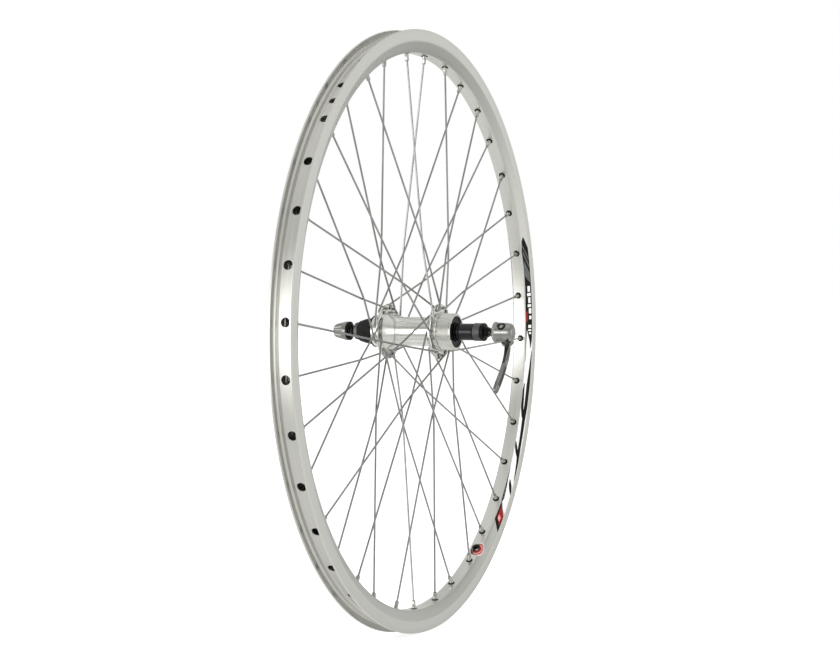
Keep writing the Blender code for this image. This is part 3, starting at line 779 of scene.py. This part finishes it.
# thread: crests at 17.45 with a root 0.62 deep, cut as a true helix, then a plain land at the end
rows_y = [-24.3 - 0.1765 * i for i in range(1, 71)]
tail = [(-36.7, 17.2), (-36.9, 17.42), (-37.4, 17.42), (-37.75, 17.3), (-38.0, 16.95)]
outline = outer + [(y, 17.45) for y in rows_y] + tail + inner
rows = {round(y, 4) for y in rows_y}


def helix(y, r, a):
    if round(y, 4) not in rows or abs(r - 17.45) > 1e-6:
        return r
    ph = ((y + a / TAU * pitch) / pitch) % 1.0
    tooth = abs(ph - 0.5) * 2.0                      # 0 at the crest, 1 at the root
    fade = min(1.0, (-24.3 - y) / 1.0, (y + 36.8) / 0.6)
    return 17.42 - 0.58 * max(0.0, tooth - 0.12) * max(0.0, fade)


def hub_pick(y, r):
    return 1 if -36.8 < y < -24.2 and r > 16.0 else 0


hub = spun("hub_shell_turned", outline, 120, [MAT["hub"], MAT["thread"]], 28.0, helix, hub_pick)
specs = []
for k, deg, side, outside in spoke_rows():
    hole = deg + (TURN if outside else -TURN)
    specs.append((polar(HOLE_R, hole, RF_Y if side == -1 else LF_Y), (0, 1, 0),
                  [(-2.4, 2.02, NONE), (-1.35, 1.3, NONE), (1.35, 1.3, NONE), (2.4, 2.02, NONE)], polar(1, hole, 0)))
cut(hub, pins(specs, 16), 28.0)
on_body(hub, "wheel", "hub_shell")


# ================================================================================================
# Bearings, cones and dust caps
# ================================================================================================
def race(ball_y, out, radius, sign_y, sign_r, steps=14):
    pts = []
    for i in range(steps + 1):
        a = math.radians(84.0 * i / steps)
        pts.append((ball_y + out * sign_y * radius * math.sin(a), 9.0 + sign_r * radius * math.cos(a)))
    return pts


for name, by, out, cone_end in (("right", -31.6, -1, -42.0), ("left", 40.6, 1, 63.2)):
    cup = [(by + out * 3.6, 13.0), (by + out * 3.6, 12.3)] + race(by, out, 3.3, -1, 1) + \
          [(by - out * 3.7, 8.7), (by - out * 4.6, 8.7), (by - out * 4.6, 13.0)]
    on_body(spun(name + "_cup_race", cup, 64, MAT["bearing"], 30.0), "wheel", name + "_bearing_cup")
    body = [(by - out * 1.6, 5.42), (by - out * 1.6, 5.75)] + race(by, out, 3.3, 1, -1)
    if name == "right":
        body += [(-36.0, 8.55), (-38.4, 8.55), (-38.7, 8.2), (-39.1, 8.2), (-39.4, 8.55), (-41.7, 8.55), (-42.0, 8.25), (-42.0, 5.42)]
    else:
        body += [(cone_end - 0.3, 8.55), (cone_end, 8.25), (cone_end, 5.42)]
    on_body(spun(name + "_cone_race", body, 64, MAT["dark"] if name == "right" else MAT["bearing"], 30.0), "axle_unit",
            name + "_cone")
    # nine balls in a pressed cage
    parts, ids = [], []
    for i in range(9):
        c = polar(9.0, 40.0 * i, by)
        loops, rings = [], 12
        for j in range(1, rings):
            a = math.pi * j / rings
            loops.append(loop_at(c + np.array([0, math.cos(a) * 2.9, 0]), (0, -1, 0), 2.9 * math.sin(a), 20, (1, 0, 0)))
        v, f = lofted(loops, cap=False)
        p, q = len(v), len(v) + 1
        v = list(v) + [c + np.array([0, 2.9, 0]), c - np.array([0, 2.9, 0])]
        last = (rings - 2) * 20
        f += [(p, (j + 1) % 20, j) for j in range(20)] + [(q, last + j, last + (j + 1) % 20) for j in range(20)]
        parts.append((v, f)); ids.append(0)
    band = []
    for y, r in ((by - 0.55, 8.5), (by + 0.55, 8.5), (by + 0.55, 9.5), (by - 0.55, 9.5)):
        band.append([polar(r, 360.0 * i / 72, y) for i in range(72)])
    v, f = lofted(band, cap=False)
    f += [(3 * 72 + i, 3 * 72 + (i + 1) % 72, (i + 1) % 72, i) for i in range(72)]
    parts.append((v, f)); ids.append(1)
    balls = joined(name + "_balls_in_cage", parts, [MAT["ball"], MAT["cage"]], 60.0, ids)
    on_body(balls, name + "_balls", name + "_ball_cage")

cap = rounded([(-38.3, 14.75), (-38.15, 14.2), (-37.0, 13.3), (-37.35, 9.2), (-36.2, 9.2), (-36.2, 14.9), (-38.0, 14.9)],
              [0.15, 0.3, 0.6, 0.3, 0.1, 0.1, 0.15], 4)
on_body(spun("right_dust_cap_moulded", cap, 96, MAT["plastic"], 35.0), "wheel", "right_dust_cap")
cap = rounded([(44.6, 9.2), (47.4, 9.2), (47.4, 14.9), (46.9, 15.5), (46.3, 15.5), (46.3, 12.9), (44.6, 12.9)],
              [0.1, 0.25, 0.3, 0.25, 0.2, 0.1, 0.1], 4)
on_body(spun("left_dust_cap_moulded", cap, 96, MAT["plastic"], 35.0), "wheel", "left_dust_cap")

# ================================================================================================
# Axle and what is threaded on it
# ================================================================================================
rows_y = [71.2 - 0.6 - 0.25 * i for i in range(0, 27)]
axle_rows = [(-71.2, 2.85), (-71.2, 4.35), (-70.7, 4.92)] + [(-y, 5.0) for y in rows_y] + [(-63.5, 4.85), (63.5, 4.85)] + \
            [(y, 5.0) for y in reversed(rows_y)] + [(70.7, 4.92), (71.2, 4.35), (71.2, 2.85)]


def axle_thread(y, r, a):
    if abs(r - 5.0) > 1e-6:
        return r
    ph = (y / 1.0 + a / TAU) % 1.0
    return 4.99 - 0.42 * abs(ph - 0.5) * 2.0


on_body(spun("axle_threaded", axle_rows, 64, MAT["blacksteel"], 30.0, axle_thread), "axle_unit", "axle")

on_body(spun("right_spacer_turned", rounded([(-42.3, 5.42), (-42.3, 8.0), (-56.2, 8.0), (-56.2, 5.42)], [0, 0.35, 0.35, 0], 4), 72,
             MAT["dark"], 35.0), "axle_unit", "right_spacer")


def knurl(low, high, top, teeth, depth, flats=0):
    """Radius function with fine teeth between two y stations."""
    def f(y, r, a):
        if low <= y <= high and r >= top - 0.06:
            r = r - depth * (0.5 - 0.5 * math.cos(a * teeth)) ** 0.7
        return r
    return f


o = spun("right_locknut_knurled", rounded([(-56.5, 5.42), (-56.5, 7.9), (-57.0, 8.5), (-57.9, 8.5), (-60.8, 8.5), (-63.6, 8.5), (-64.2, 7.95), (-64.2, 5.42)],
                                          [0, 0.1, 0.15, 0, 0, 0.15, 0.1, 0], 2), 240, MAT["knurl"], 40.0,
         knurl(-63.4, -57.1, 8.5, 48, 0.16))
on_body(o, "axle_unit", "right_locknut")

# serrated outer washer: radial teeth on the face that bites the dropout
def washer_face(sign, face_y, r_low, r_high, depth, teeth):
    def f(y, r, a):
        if abs(y - face_y) < 1e-6 and r_low <= r <= r_high:
            return r, y - sign * depth * (0.5 + 0.5 * math.cos(a * teeth))
        return r
    return f


o = spun("right_lock_washer_serrated", [(-64.5, 5.42), (-64.5, 8.45), (-64.65, 8.6), (-66.7, 8.6), (-67.35, 8.2), (-67.5, 7.95), (-67.5, 7.2), (-67.5, 6.2), (-67.5, 5.42)],
         192, MAT["blacksteel"], 45.0, washer_face(-1, -67.5, 5.6, 7.7, 0.22, 32))
on_body(o, "axle_unit", "right_lock_washer")

boot = rounded([(47.7, 8.95), (47.7, 12.3), (48.3, 12.9), (50.2, 12.65), (57.3, 11.5), (58.2, 11.05), (62.2, 9.95), (63.2, 9.3), (63.2, 8.95)],
               [0, 0.2, 0.3, 0.6, 0.6, 0.5, 0.3, 0.1, 0], 4)
on_body(spun("left_boot_moulded", boot, 96, MAT["rubber"], 40.0), "axle_unit", "left_boot")

o = spun("left_locknut_knurled", [(63.5, 5.42), (63.5, 7.9), (63.8, 8.3), (64.6, 8.3), (66.4, 8.3), (67.1, 8.05), (67.5, 7.6), (67.5, 7.1), (67.5, 6.1), (67.5, 5.42)],
         240, MAT["knurl"], 40.0,
         lambda y, r, a: (r - 0.16 * (0.5 - 0.5 * math.cos(a * 44)) if 63.7 < y < 66.6 and r > 8.2 else
                          ((r, y - 0.2 * (0.5 + 0.5 * math.cos(a * 30))) if y == 67.5 and 5.6 < r < 7.3 else r)))
on_body(o, "axle_unit", "left_locknut")

# ================================================================================================
# Quick-release skewer
# ================================================================================================
tilt = math.radians(43.0)
CAM = np.array([-math.cos(tilt), 0.0, math.sin(tilt)])
DOWN = np.array([-math.sin(tilt), 0.0, -math.cos(tilt)])
OUT = np.array([0.0, -1.0, 0.0])
CAM_P = np.array([0.0, -86.0, 0.0])

house = [(-96.3, 0.0), (-96.3, 4.2), (-96.1, 5.3), (-95.5, 6.4), (-94.6, 7.35), (-93.6, 8.05), (-92.6, 8.45), (-91.4, 8.6), (-86.0, 8.95),
         (-80.6, 9.3), (-79.5, 9.42), (-79.1, 9.5), (-78.75, 9.72), (-78.5, 9.82), (-78.0, 9.82), (-77.55, 9.75), (-77.2, 9.45),
         (-77.0, 8.9), (-77.0, 7.6), (-77.0, 6.3), (-77.3, 5.9), (-79.1, 5.9), (-79.1, 6.8), (-93.4, 6.8), (-93.4, 0.0)]


def house_teeth(y, r, a):
    """Bumps round the flange and radial teeth on the face towards the frame."""
    if r > 9.7:
        return r - 0.5 * (0.5 - 0.5 * math.cos(a * 26)) ** 1.5
    if y == -77.0 and 6.5 < r < 8.8:
        return r, y - 0.45 * (0.5 + 0.5 * math.cos(a * 26))
    return r


housing = spun("cam_housing_cast", house, 208, MAT["housing"], 38.0, house_teeth)
bore = pins([(CAM_P, CAM, [(-14.0, 5.1, NONE), (0.0, 5.1, NONE), (0.02, 3.35, NONE), (7.6, 3.35, NONE), (7.62, 4.2, NONE), (14.0, 4.2, NONE)],
              (0, 1, 0))], 40)
cut(housing, bore, 38.0)
on_body(housing, "skewer_head", "cam_housing")


def arm_centre(s):
    bow = 7.2 * (1.0 - math.exp(-s / 19.0))
    inward = 0.010 * max(0.0, s - 34.0) ** 1.5
    return CAM_P + CAM * (-12.6 + 1.9 * min(1.0, s / 40.0)) + DOWN * s + OUT * (bow - inward)


ARM = [(0.5, 1.7, 2.6), (5.0, 2.3, 3.0), (11.0, 3.1, 2.8), (18.0, 3.5, 2.5), (27.0, 3.9, 2.2), (36.0, 4.1, 2.1),
       (46.0, 4.5, 2.1), (55.0, 4.7, 2.0), (61.0, 4.3, 1.9), (63.2, 3.55, 1.7), (64.5, 2.6, 1.4), (65.3, 1.3, 0.9)]
arm_s, arm_w, arm_t = (np.array([row[i] for row in ARM]) for i in range(3))


def well(s, low, high, ease=3.0):
    """1 between two stations, falling off smoothly at both ends."""
    return max(0.0, min(1.0, (s - low) / ease)) * max(0.0, min(1.0, (high - s) / ease))


sides, loops = 48, []
stations = list(np.linspace(0.5, 60.0, 90)) + list(np.linspace(60.5, 64.6, 10)) + [65.0, 65.2, 65.3]
for s in stations:
    w, t = float(np.interp(s, arm_s, arm_w)), float(np.interp(s, arm_s, arm_t))
    c = arm_centre(s)
    tangent = unit(arm_centre(s + 0.5) - arm_centre(s - 0.5))
    wide = unit(CAM - tangent * CAM.dot(tangent))
    thin = np.cross(tangent, wide)
    if thin.dot(OUT) < 0:
        thin = -thin
    ring = []
    for i in range(sides):
        a = TAU * i / sides
        ca, sa = math.cos(a), math.sin(a)
        e = 0.62
        x = math.copysign(abs(ca) ** e, ca) * w
        z = math.copysign(abs(sa) ** e, sa) * t
        q = x / w
        if ca > 0:   # shallow groove along the narrow face turned to the wheel's front
            x -= 0.55 * (well(s, 9.0, 32.0, 1.5) + 0.6 * well(s, 34.0, 56.0, 6.0) + well(s, 57.0, 60.5, 0.9)) * max(0.0, 1.0 - (abs(z / t) / 0.5) ** 4)
        if z > 0:   # long channel on the outer face of the lower half, a rib with two flutes above it
            z -= 1.05 * well(s, 30.0, 58.5, 4.0) * max(0.0, 1.0 - (abs(q) / 0.62) ** 4)
            z -= 0.75 * well(s, 9.0, 29.0, 4.0) * max(0.0, 1.0 - ((abs(q) - 0.5) / 0.26) ** 2)
        else:
            z += 0.7 * well(s, 12.0, 56.0, 5.0) * max(0.0, 1.0 - (abs(q) / 0.6) ** 4)
        ring.append(c + wide * x + thin * z)
    loops.append(ring)
arm = lofted(loops)
# faces in the channels and the front groove get the dark recess material: painted shade in the recesses
painted_shade_faces = []
for k in range(len(stations) - 1):
    s = stations[k]
    for i in range(sides):
        q = math.copysign(abs(math.cos(TAU * (i + 0.5) / sides)) ** 0.62, math.cos(TAU * (i + 0.5) / sides))
        top = math.sin(TAU * (i + 0.5) / sides) > 0
        low_well = top and well(s, 30.0, 58.5, 4.0) > 0.5 and abs(q) < 0.55
        high_well = top and well(s, 9.0, 29.0, 4.0) > 0.5 and 0.30 < abs(q) < 0.70
        edge = math.cos(TAU * (i + 0.5) / sides) > 0 and abs(math.sin(TAU * (i + 0.5) / sides)) ** 0.62 < 0.5 and well(s, 9.0, 32.0, 1.5) > 0.3
        painted_shade_faces.append(1 if low_well or high_well or edge else 0)
painted_shade_faces += [0, 0]
journal = []
for c, r, shift in ((-15.0, 4.2, 0), (-15.0, 5.3, 0), (-14.85, 5.75, 0), (-14.3, 6.0, 0), (-10.9, 6.0, 0), (-10.45, 5.85, 0), (-10.3, 5.4, 0), (-10.2, 4.65, 0),
                    (-2.56, 4.65, 0), (-2.5, 3.7, 0.7), (2.5, 3.7, 0.7), (2.56, 2.9, 0), (7.3, 2.9, 0), (7.35, 2.0, 0), (8.7, 2.0, 0), (9.0, 1.6, 0)):
    journal.append(loop_at(CAM_P + CAM * c + OUT * shift, CAM, r, 48, (0, 1, 0)))
lever = joined("cam_lever_forged", [lofted(journal)], [MAT["lever"], MAT["recess"]], 34.0)
arm_obj = mesh_piece("cutter", arm[0], arm[1], [MAT["lever"], MAT["recess"]], 34.0, painted_shade_faces)
fix_normals(arm_obj)
cut(lever, arm_obj, 34.0, "UNION")
on_body(lever, "cam_lever", "lever")

# retaining ring: a split ring with a gap
loops = []
for i in range(41):
    a = math.radians(18.0 + 324.0 * i / 40)
    u = unit(np.cross(CAM, (0, 1, 0)))
    d = np.array([0, 1.0, 0]) * math.cos(a) + u * math.sin(a)
    loops.append([CAM_P + CAM * c + d * r for c, r in ((7.97, 2.36), (7.97, 3.7), (8.07, 3.8), (8.65, 3.8), (8.73, 3.7), (8.73, 2.36))])
on_body(joined("cam_retaining_ring_split", [lofted(loops)], MAT["blacksteel"], 34.0), "cam_lever", "cam_retaining_ring")

# draw rod: an eye round the cam and a long rod threaded at its far end
eye_y = -86.7
rows_y = [66.0 + 0.2 * i for i in range(0, 111)]
rod_outline = [(eye_y + 4.9, 0.0), (eye_y + 4.9, 2.45), (65.8, 2.45)] + [(y, 2.449) for y in rows_y] + [(88.3, 2.3), (88.8, 1.9), (88.8, 0.0)]


def rod_thread(y, r, a):
    if abs(r - 2.449) > 1e-6:
        return r
    ph = (y / 0.8 + a / TAU) % 1.0
    return 2.44 - 0.36 * abs(ph - 0.5) * 2.0


rod = spun("skewer_rod_threaded", rod_outline, 32, MAT["spoke"], 30.0, rod_thread)
eye_c = np.array([0.0, eye_y, 0.0])
eye = joined("cutter", [lofted([loop_at(eye_c + CAM * c, CAM, r, 56, (0, 1, 0)) for c, r in ((-2.25, 5.6), (-2.05, 5.88), (2.05, 5.88), (2.25, 5.6))])], MAT["spoke"])
cut(rod, eye, 30.0, "UNION")
slot = []
for c in (-4.0, 4.0):
    u = unit(np.cross(CAM, (0, 1, 0)))
    slot.append([eye_c + CAM * c + np.array([0, 1.0, 0]) * (4.08 * math.cos(TAU * i / 56)) + u * (4.68 * math.sin(TAU * i / 56)) for i in range(56)])
cut(rod, joined("cutter", [lofted(slot)], MAT["spoke"]), 30.0)
on_body(rod, "draw_rod", "skewer_rod")

# adjusting nut: shoulder, groove, fluted taper, nylon insert in its end
nut_outline = [(75.0, 5.95), (75.0, 7.0), (76.0, 7.0), (76.0, 8.9), (76.2, 9.08), (77.2, 9.08), (77.4, 9.0), (77.7, 8.7), (78.3, 8.7), (78.55, 8.95),
               (79.0, 8.93), (79.8, 8.70), (80.6, 8.52), (82.0, 8.18), (84.0, 7.70), (86.0, 7.22), (87.6, 6.84), (88.6, 6.55), (89.3, 6.1), (89.8, 5.6), (90.0, 5.0),
               (90.0, 3.9), (89.3, 3.7), (89.3, 2.62), (79.0, 2.62), (79.0, 5.95)]


def flutes(y, r, a):
    if 79.4 < y < 89.0 and r > 6.3:
        depth = 0.62 * min(1.0, (y - 79.4) / 1.4, (89.4 - y) / 0.9)
        return r - depth * (0.5 + 0.5 * math.cos(a * 14)) ** 1.6
    return r


nut = spun("skewer_nut_fluted", nut_outline, 168, [MAT["housing"], MAT["nylon"]], 34.0, flutes, lambda y, r: 1 if y > 89.2 and r < 4.0 else 0)
on_body(nut, "nut", "skewer_nut")

ring_outline = [(73.7, 6.1), (73.7, 6.9), (73.7, 8.0), (73.7, 8.7), (74.0, 9.0), (74.3, 9.1), (75.4, 9.1), (75.7, 8.95), (75.7, 7.35), (74.7, 7.35), (74.7, 6.1)]


def ring_teeth(y, r, a):
    if y == 73.7 and 6.5 < r < 8.9:
        return r, y + 0.4 * (0.5 + 0.5 * math.cos(a * 30))
    if r > 9.05:
        return r - 0.12 * (0.5 - 0.5 * math.cos(a * 30))
    return r


on_body(spun("nut_face_ring_serrated", ring_outline, 180, MAT["blacksteel"], 40.0, ring_teeth), "nut_ring", "nut_face_ring")


def spring(name, y0, y1, r0, r1, turns, wire):
    steps = int(turns * 40)
    pts = []
    for i in range(steps + 1):
        f = i / steps
        # closed end coils and open ones between
        lift = f + 0.045 * math.sin(TAU * f)
        a = TAU * turns * f
        r = r0 + (r1 - r0) * f
        pts.append(np.array([r * math.cos(a), y0 + (y1 - y0) * lift, r * math.sin(a)]))
    loops = []
    for i, p in enumerate(pts):
        t = pts[min(i + 1, steps)] - pts[max(i - 1, 0)]
        k = 0.8 if i in (0, steps) else 1.0
        loops.append(loop_at(p, t, wire * k, 10, (0, 1, 0)))
    return joined(name, [lofted(loops)], MAT["blacksteel"], 50.0)


on_body(spring("right_spring_coil", -72.0, -78.3, 3.55, 4.75, 3.5, 0.5), "axle_unit", "right_spring")
coil = spring("left_spring_coil", 72.0, 78.3, 3.55, 4.75, 3.5, 0.5)
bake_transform(coil)
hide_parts("left_spring")

# ================================================================================================
# Floor, light and camera
# ================================================================================================
floor_me = bpy.data.meshes.new("studio_floor")
N, RAD = 96, 14.0
floor_me.from_pydata([(RAD * math.cos(TAU * i / N), RAD * math.sin(TAU * i / N), -0.2862) for i in range(N)], [], [tuple(range(N))])
floor = bpy.data.objects.new("studio_floor", floor_me)
bpy.context.scene.collection.objects.link(floor)
t = Tree("studio_floor_pale")
t.base(t.ramp(t.noise(1.2, 2.0), [(0.3, (0.60, 0.60, 0.60)), (0.7, (0.63, 0.63, 0.63))]))
t.rough(0.9)
t.bsdf.inputs["Emission Color"].default_value = (1.0, 1.0, 1.0, 1.0)
t.bsdf.inputs["Emission Strength"].default_value = 0.72
t.bsdf.inputs["Specular IOR Level"].default_value = 0.0
floor_me.materials.append(t.mat)
floor.visible_glossy = False

world = bpy.data.worlds.new("studio")
bpy.context.scene.world = world
world.use_nodes = True
nt = world.node_tree
nt.nodes.clear()
out = nt.nodes.new("ShaderNodeOutputWorld")
bg = nt.nodes.new("ShaderNodeBackground")
white = nt.nodes.new("ShaderNodeBackground")
white.inputs["Color"].default_value = (1.0, 1.0, 1.0, 1.0)
white.inputs["Strength"].default_value = 1.0
path = nt.nodes.new("ShaderNodeLightPath")
mixer = nt.nodes.new("ShaderNodeMixShader")
nt.links.new(path.outputs["Is Camera Ray"], mixer.inputs[0])
nt.links.new(bg.outputs[0], mixer.inputs[1])
nt.links.new(white.outputs[0], mixer.inputs[2])
nt.links.new(mixer.outputs[0], out.inputs["Surface"])
coord = nt.nodes.new("ShaderNodeTexCoord")
sep = nt.nodes.new("ShaderNodeSeparateXYZ")
nt.links.new(coord.outputs["Generated"], sep.inputs[0])


def wmath(op, a, b=None):
    m = nt.nodes.new("ShaderNodeMath")
    m.operation = op
    for i, x in enumerate((a, b)):
        if x is None:
            continue
        if isinstance(x, (int, float)):
            m.inputs[i].default_value = x
        else:
            nt.links.new(x, m.inputs[i])
    return m.outputs[0]


def wdot(x, y, z):
    v = Vector((x, y, z)).normalized()
    return wmath("ADD", wmath("ADD", wmath("MULTIPLY", sep.outputs["X"], v.x), wmath("MULTIPLY", sep.outputs["Y"], v.y)),
                 wmath("MULTIPLY", sep.outputs["Z"], v.z))


def wstep(value, low, high, amount):
    m = nt.nodes.new("ShaderNodeMapRange")
    m.interpolation_type = "SMOOTHSTEP"
    m.inputs["From Min"].default_value = low
    m.inputs["From Max"].default_value = high
    m.inputs["To Min"].default_value = 0.0
    m.inputs["To Max"].default_value = amount
    nt.links.new(value, m.inputs["Value"])
    return m.outputs["Result"]


def wramp(value, stops):
    r = nt.nodes.new("ShaderNodeValToRGB")
    r.color_ramp.interpolation = "EASE"
    els = r.color_ramp.elements
    while len(els) < len(stops):
        els.new(0.5)
    for el, (p, v) in zip(els, stops):
        el.position = (p + 1.0) / 2.0
        el.color = (v / 2, v / 2, v / 2, 1.0)
    nt.links.new(wmath("MULTIPLY", wmath("ADD", value, 1.0), 0.5), r.inputs["Fac"])
    c = nt.nodes.new("ShaderNodeSeparateColor")
    nt.links.new(r.outputs["Color"], c.inputs[0])
    return wmath("MULTIPLY", c.outputs[0], 2.0)


# the room by height: pale floor, a darker gap, pale walls, a dim band and a soft ceiling
room = wramp(sep.outputs["Z"], [(-1.0, 0.98), (-0.60, 0.92), (-0.34, 0.74), (-0.12, 0.86), (0.12, 0.86), (0.30, 0.74), (0.50, 0.66), (0.72, 0.80), (0.90, 0.92), (1.0, 0.96)])
# behind the camera's left shoulder: one long bright window with dark flags above and below it
window_side = wstep(wdot(-0.914, 0.406, 0.0), 0.45, 0.80, 1.0)
bright = wmath("SUBTRACT", wramp(sep.outputs["Z"], [(-0.42, 0.0), (-0.18, 1.25), (0.18, 1.25), (0.42, 0.0)]),
               wramp(sep.outputs["Z"], [(-0.62, 0.0), (-0.46, 0.16), (-0.40, 0.10), (-0.34, 0.0), (0.34, 0.0), (0.44, 0.14), (0.50, 0.14), (0.60, 0.0)]))
core = wmath("MULTIPLY", wstep(wdot(-0.914, 0.406, -0.02), 0.955, 0.992, 1.0), wramp(sep.outputs["Z"], [(-0.09, 0.0), (-0.04, 2.0), (0.03, 2.0), (0.08, 0.0)]))
level = wmath("ADD", room, wmath("MULTIPLY", window_side, bright))
level = wmath("ADD", level, wmath("MULTIPLY", core, 2.2))
# a big softbox low on the -Y side, mirrored by the sprocket-side slopes of the far rim
level = wmath("ADD", level, wstep(wdot(0.30, -0.95, 0.02), 0.86, 0.98, 0.75))
# a dim wall straight behind the camera keeps the top of the rim grey
level = wmath("SUBTRACT", level, wstep(wdot(0.90, -0.26, -0.36), 0.90, 0.985, 0.20))
bg.inputs["Color"].default_value = (1.0, 0.995, 0.975, 1.0)
nt.links.new(level, bg.inputs["Strength"])


def area(name, place, target, size, watts, colour=(1, 1, 1), size_y=None, glossy=True):
    data = bpy.data.lights.new(name, "AREA")
    data.shape = "RECTANGLE"
    data.size, data.size_y = size, size_y or size
    data.energy = watts
    data.color = colour
    o = bpy.data.objects.new(name, data)
    bpy.context.scene.collection.objects.link(o)
    o.location = place
    o.rotation_mode = "QUATERNION"
    o.rotation_quaternion = (Vector(target) - Vector(place)).to_track_quat("-Z", "Y")
    o.visible_glossy = glossy
    return o


area("overhead_soft", (-0.4, -0.3, 2.6), (0, 0, -0.28), 3.2, 22.0, glossy=False)
area("key_soft", (-2.4, -2.0, 1.5), (0, 0, 0), 1.1, 12.0, glossy=False)
area("fill_soft", (2.2, -2.2, 0.8), (0, 0, 0), 1.4, 10.0, glossy=False)

cam_data = bpy.data.cameras.new("photo_camera")
cam_data.sensor_width = 36.0
cam_data.lens = 84.65
cam_data.clip_start, cam_data.clip_end = 0.05, 60.0
cam = bpy.data.objects.new("photo_camera", cam_data)
bpy.context.scene.collection.objects.link(cam)
az, el, dist = math.radians(-66.02), math.radians(1.25), 6.609 * 0.286
back = Vector((math.sin(az) * math.cos(el), -math.cos(az) * math.cos(el), math.sin(el)))
cam.location = back * dist
cam.rotation_mode = "QUATERNION"
cam.rotation_quaternion = (-back).to_track_quat("-Z", "Y")
# the wheel's centre sits 0.1 px right of and 1 px above the middle of the frame
cam_data.shift_x = -0.1 / 840.0
cam_data.shift_y = -1.0 / 840.0
bpy.context.scene.camera = cam
bpy.context.scene.view_settings.view_transform = "Standard"
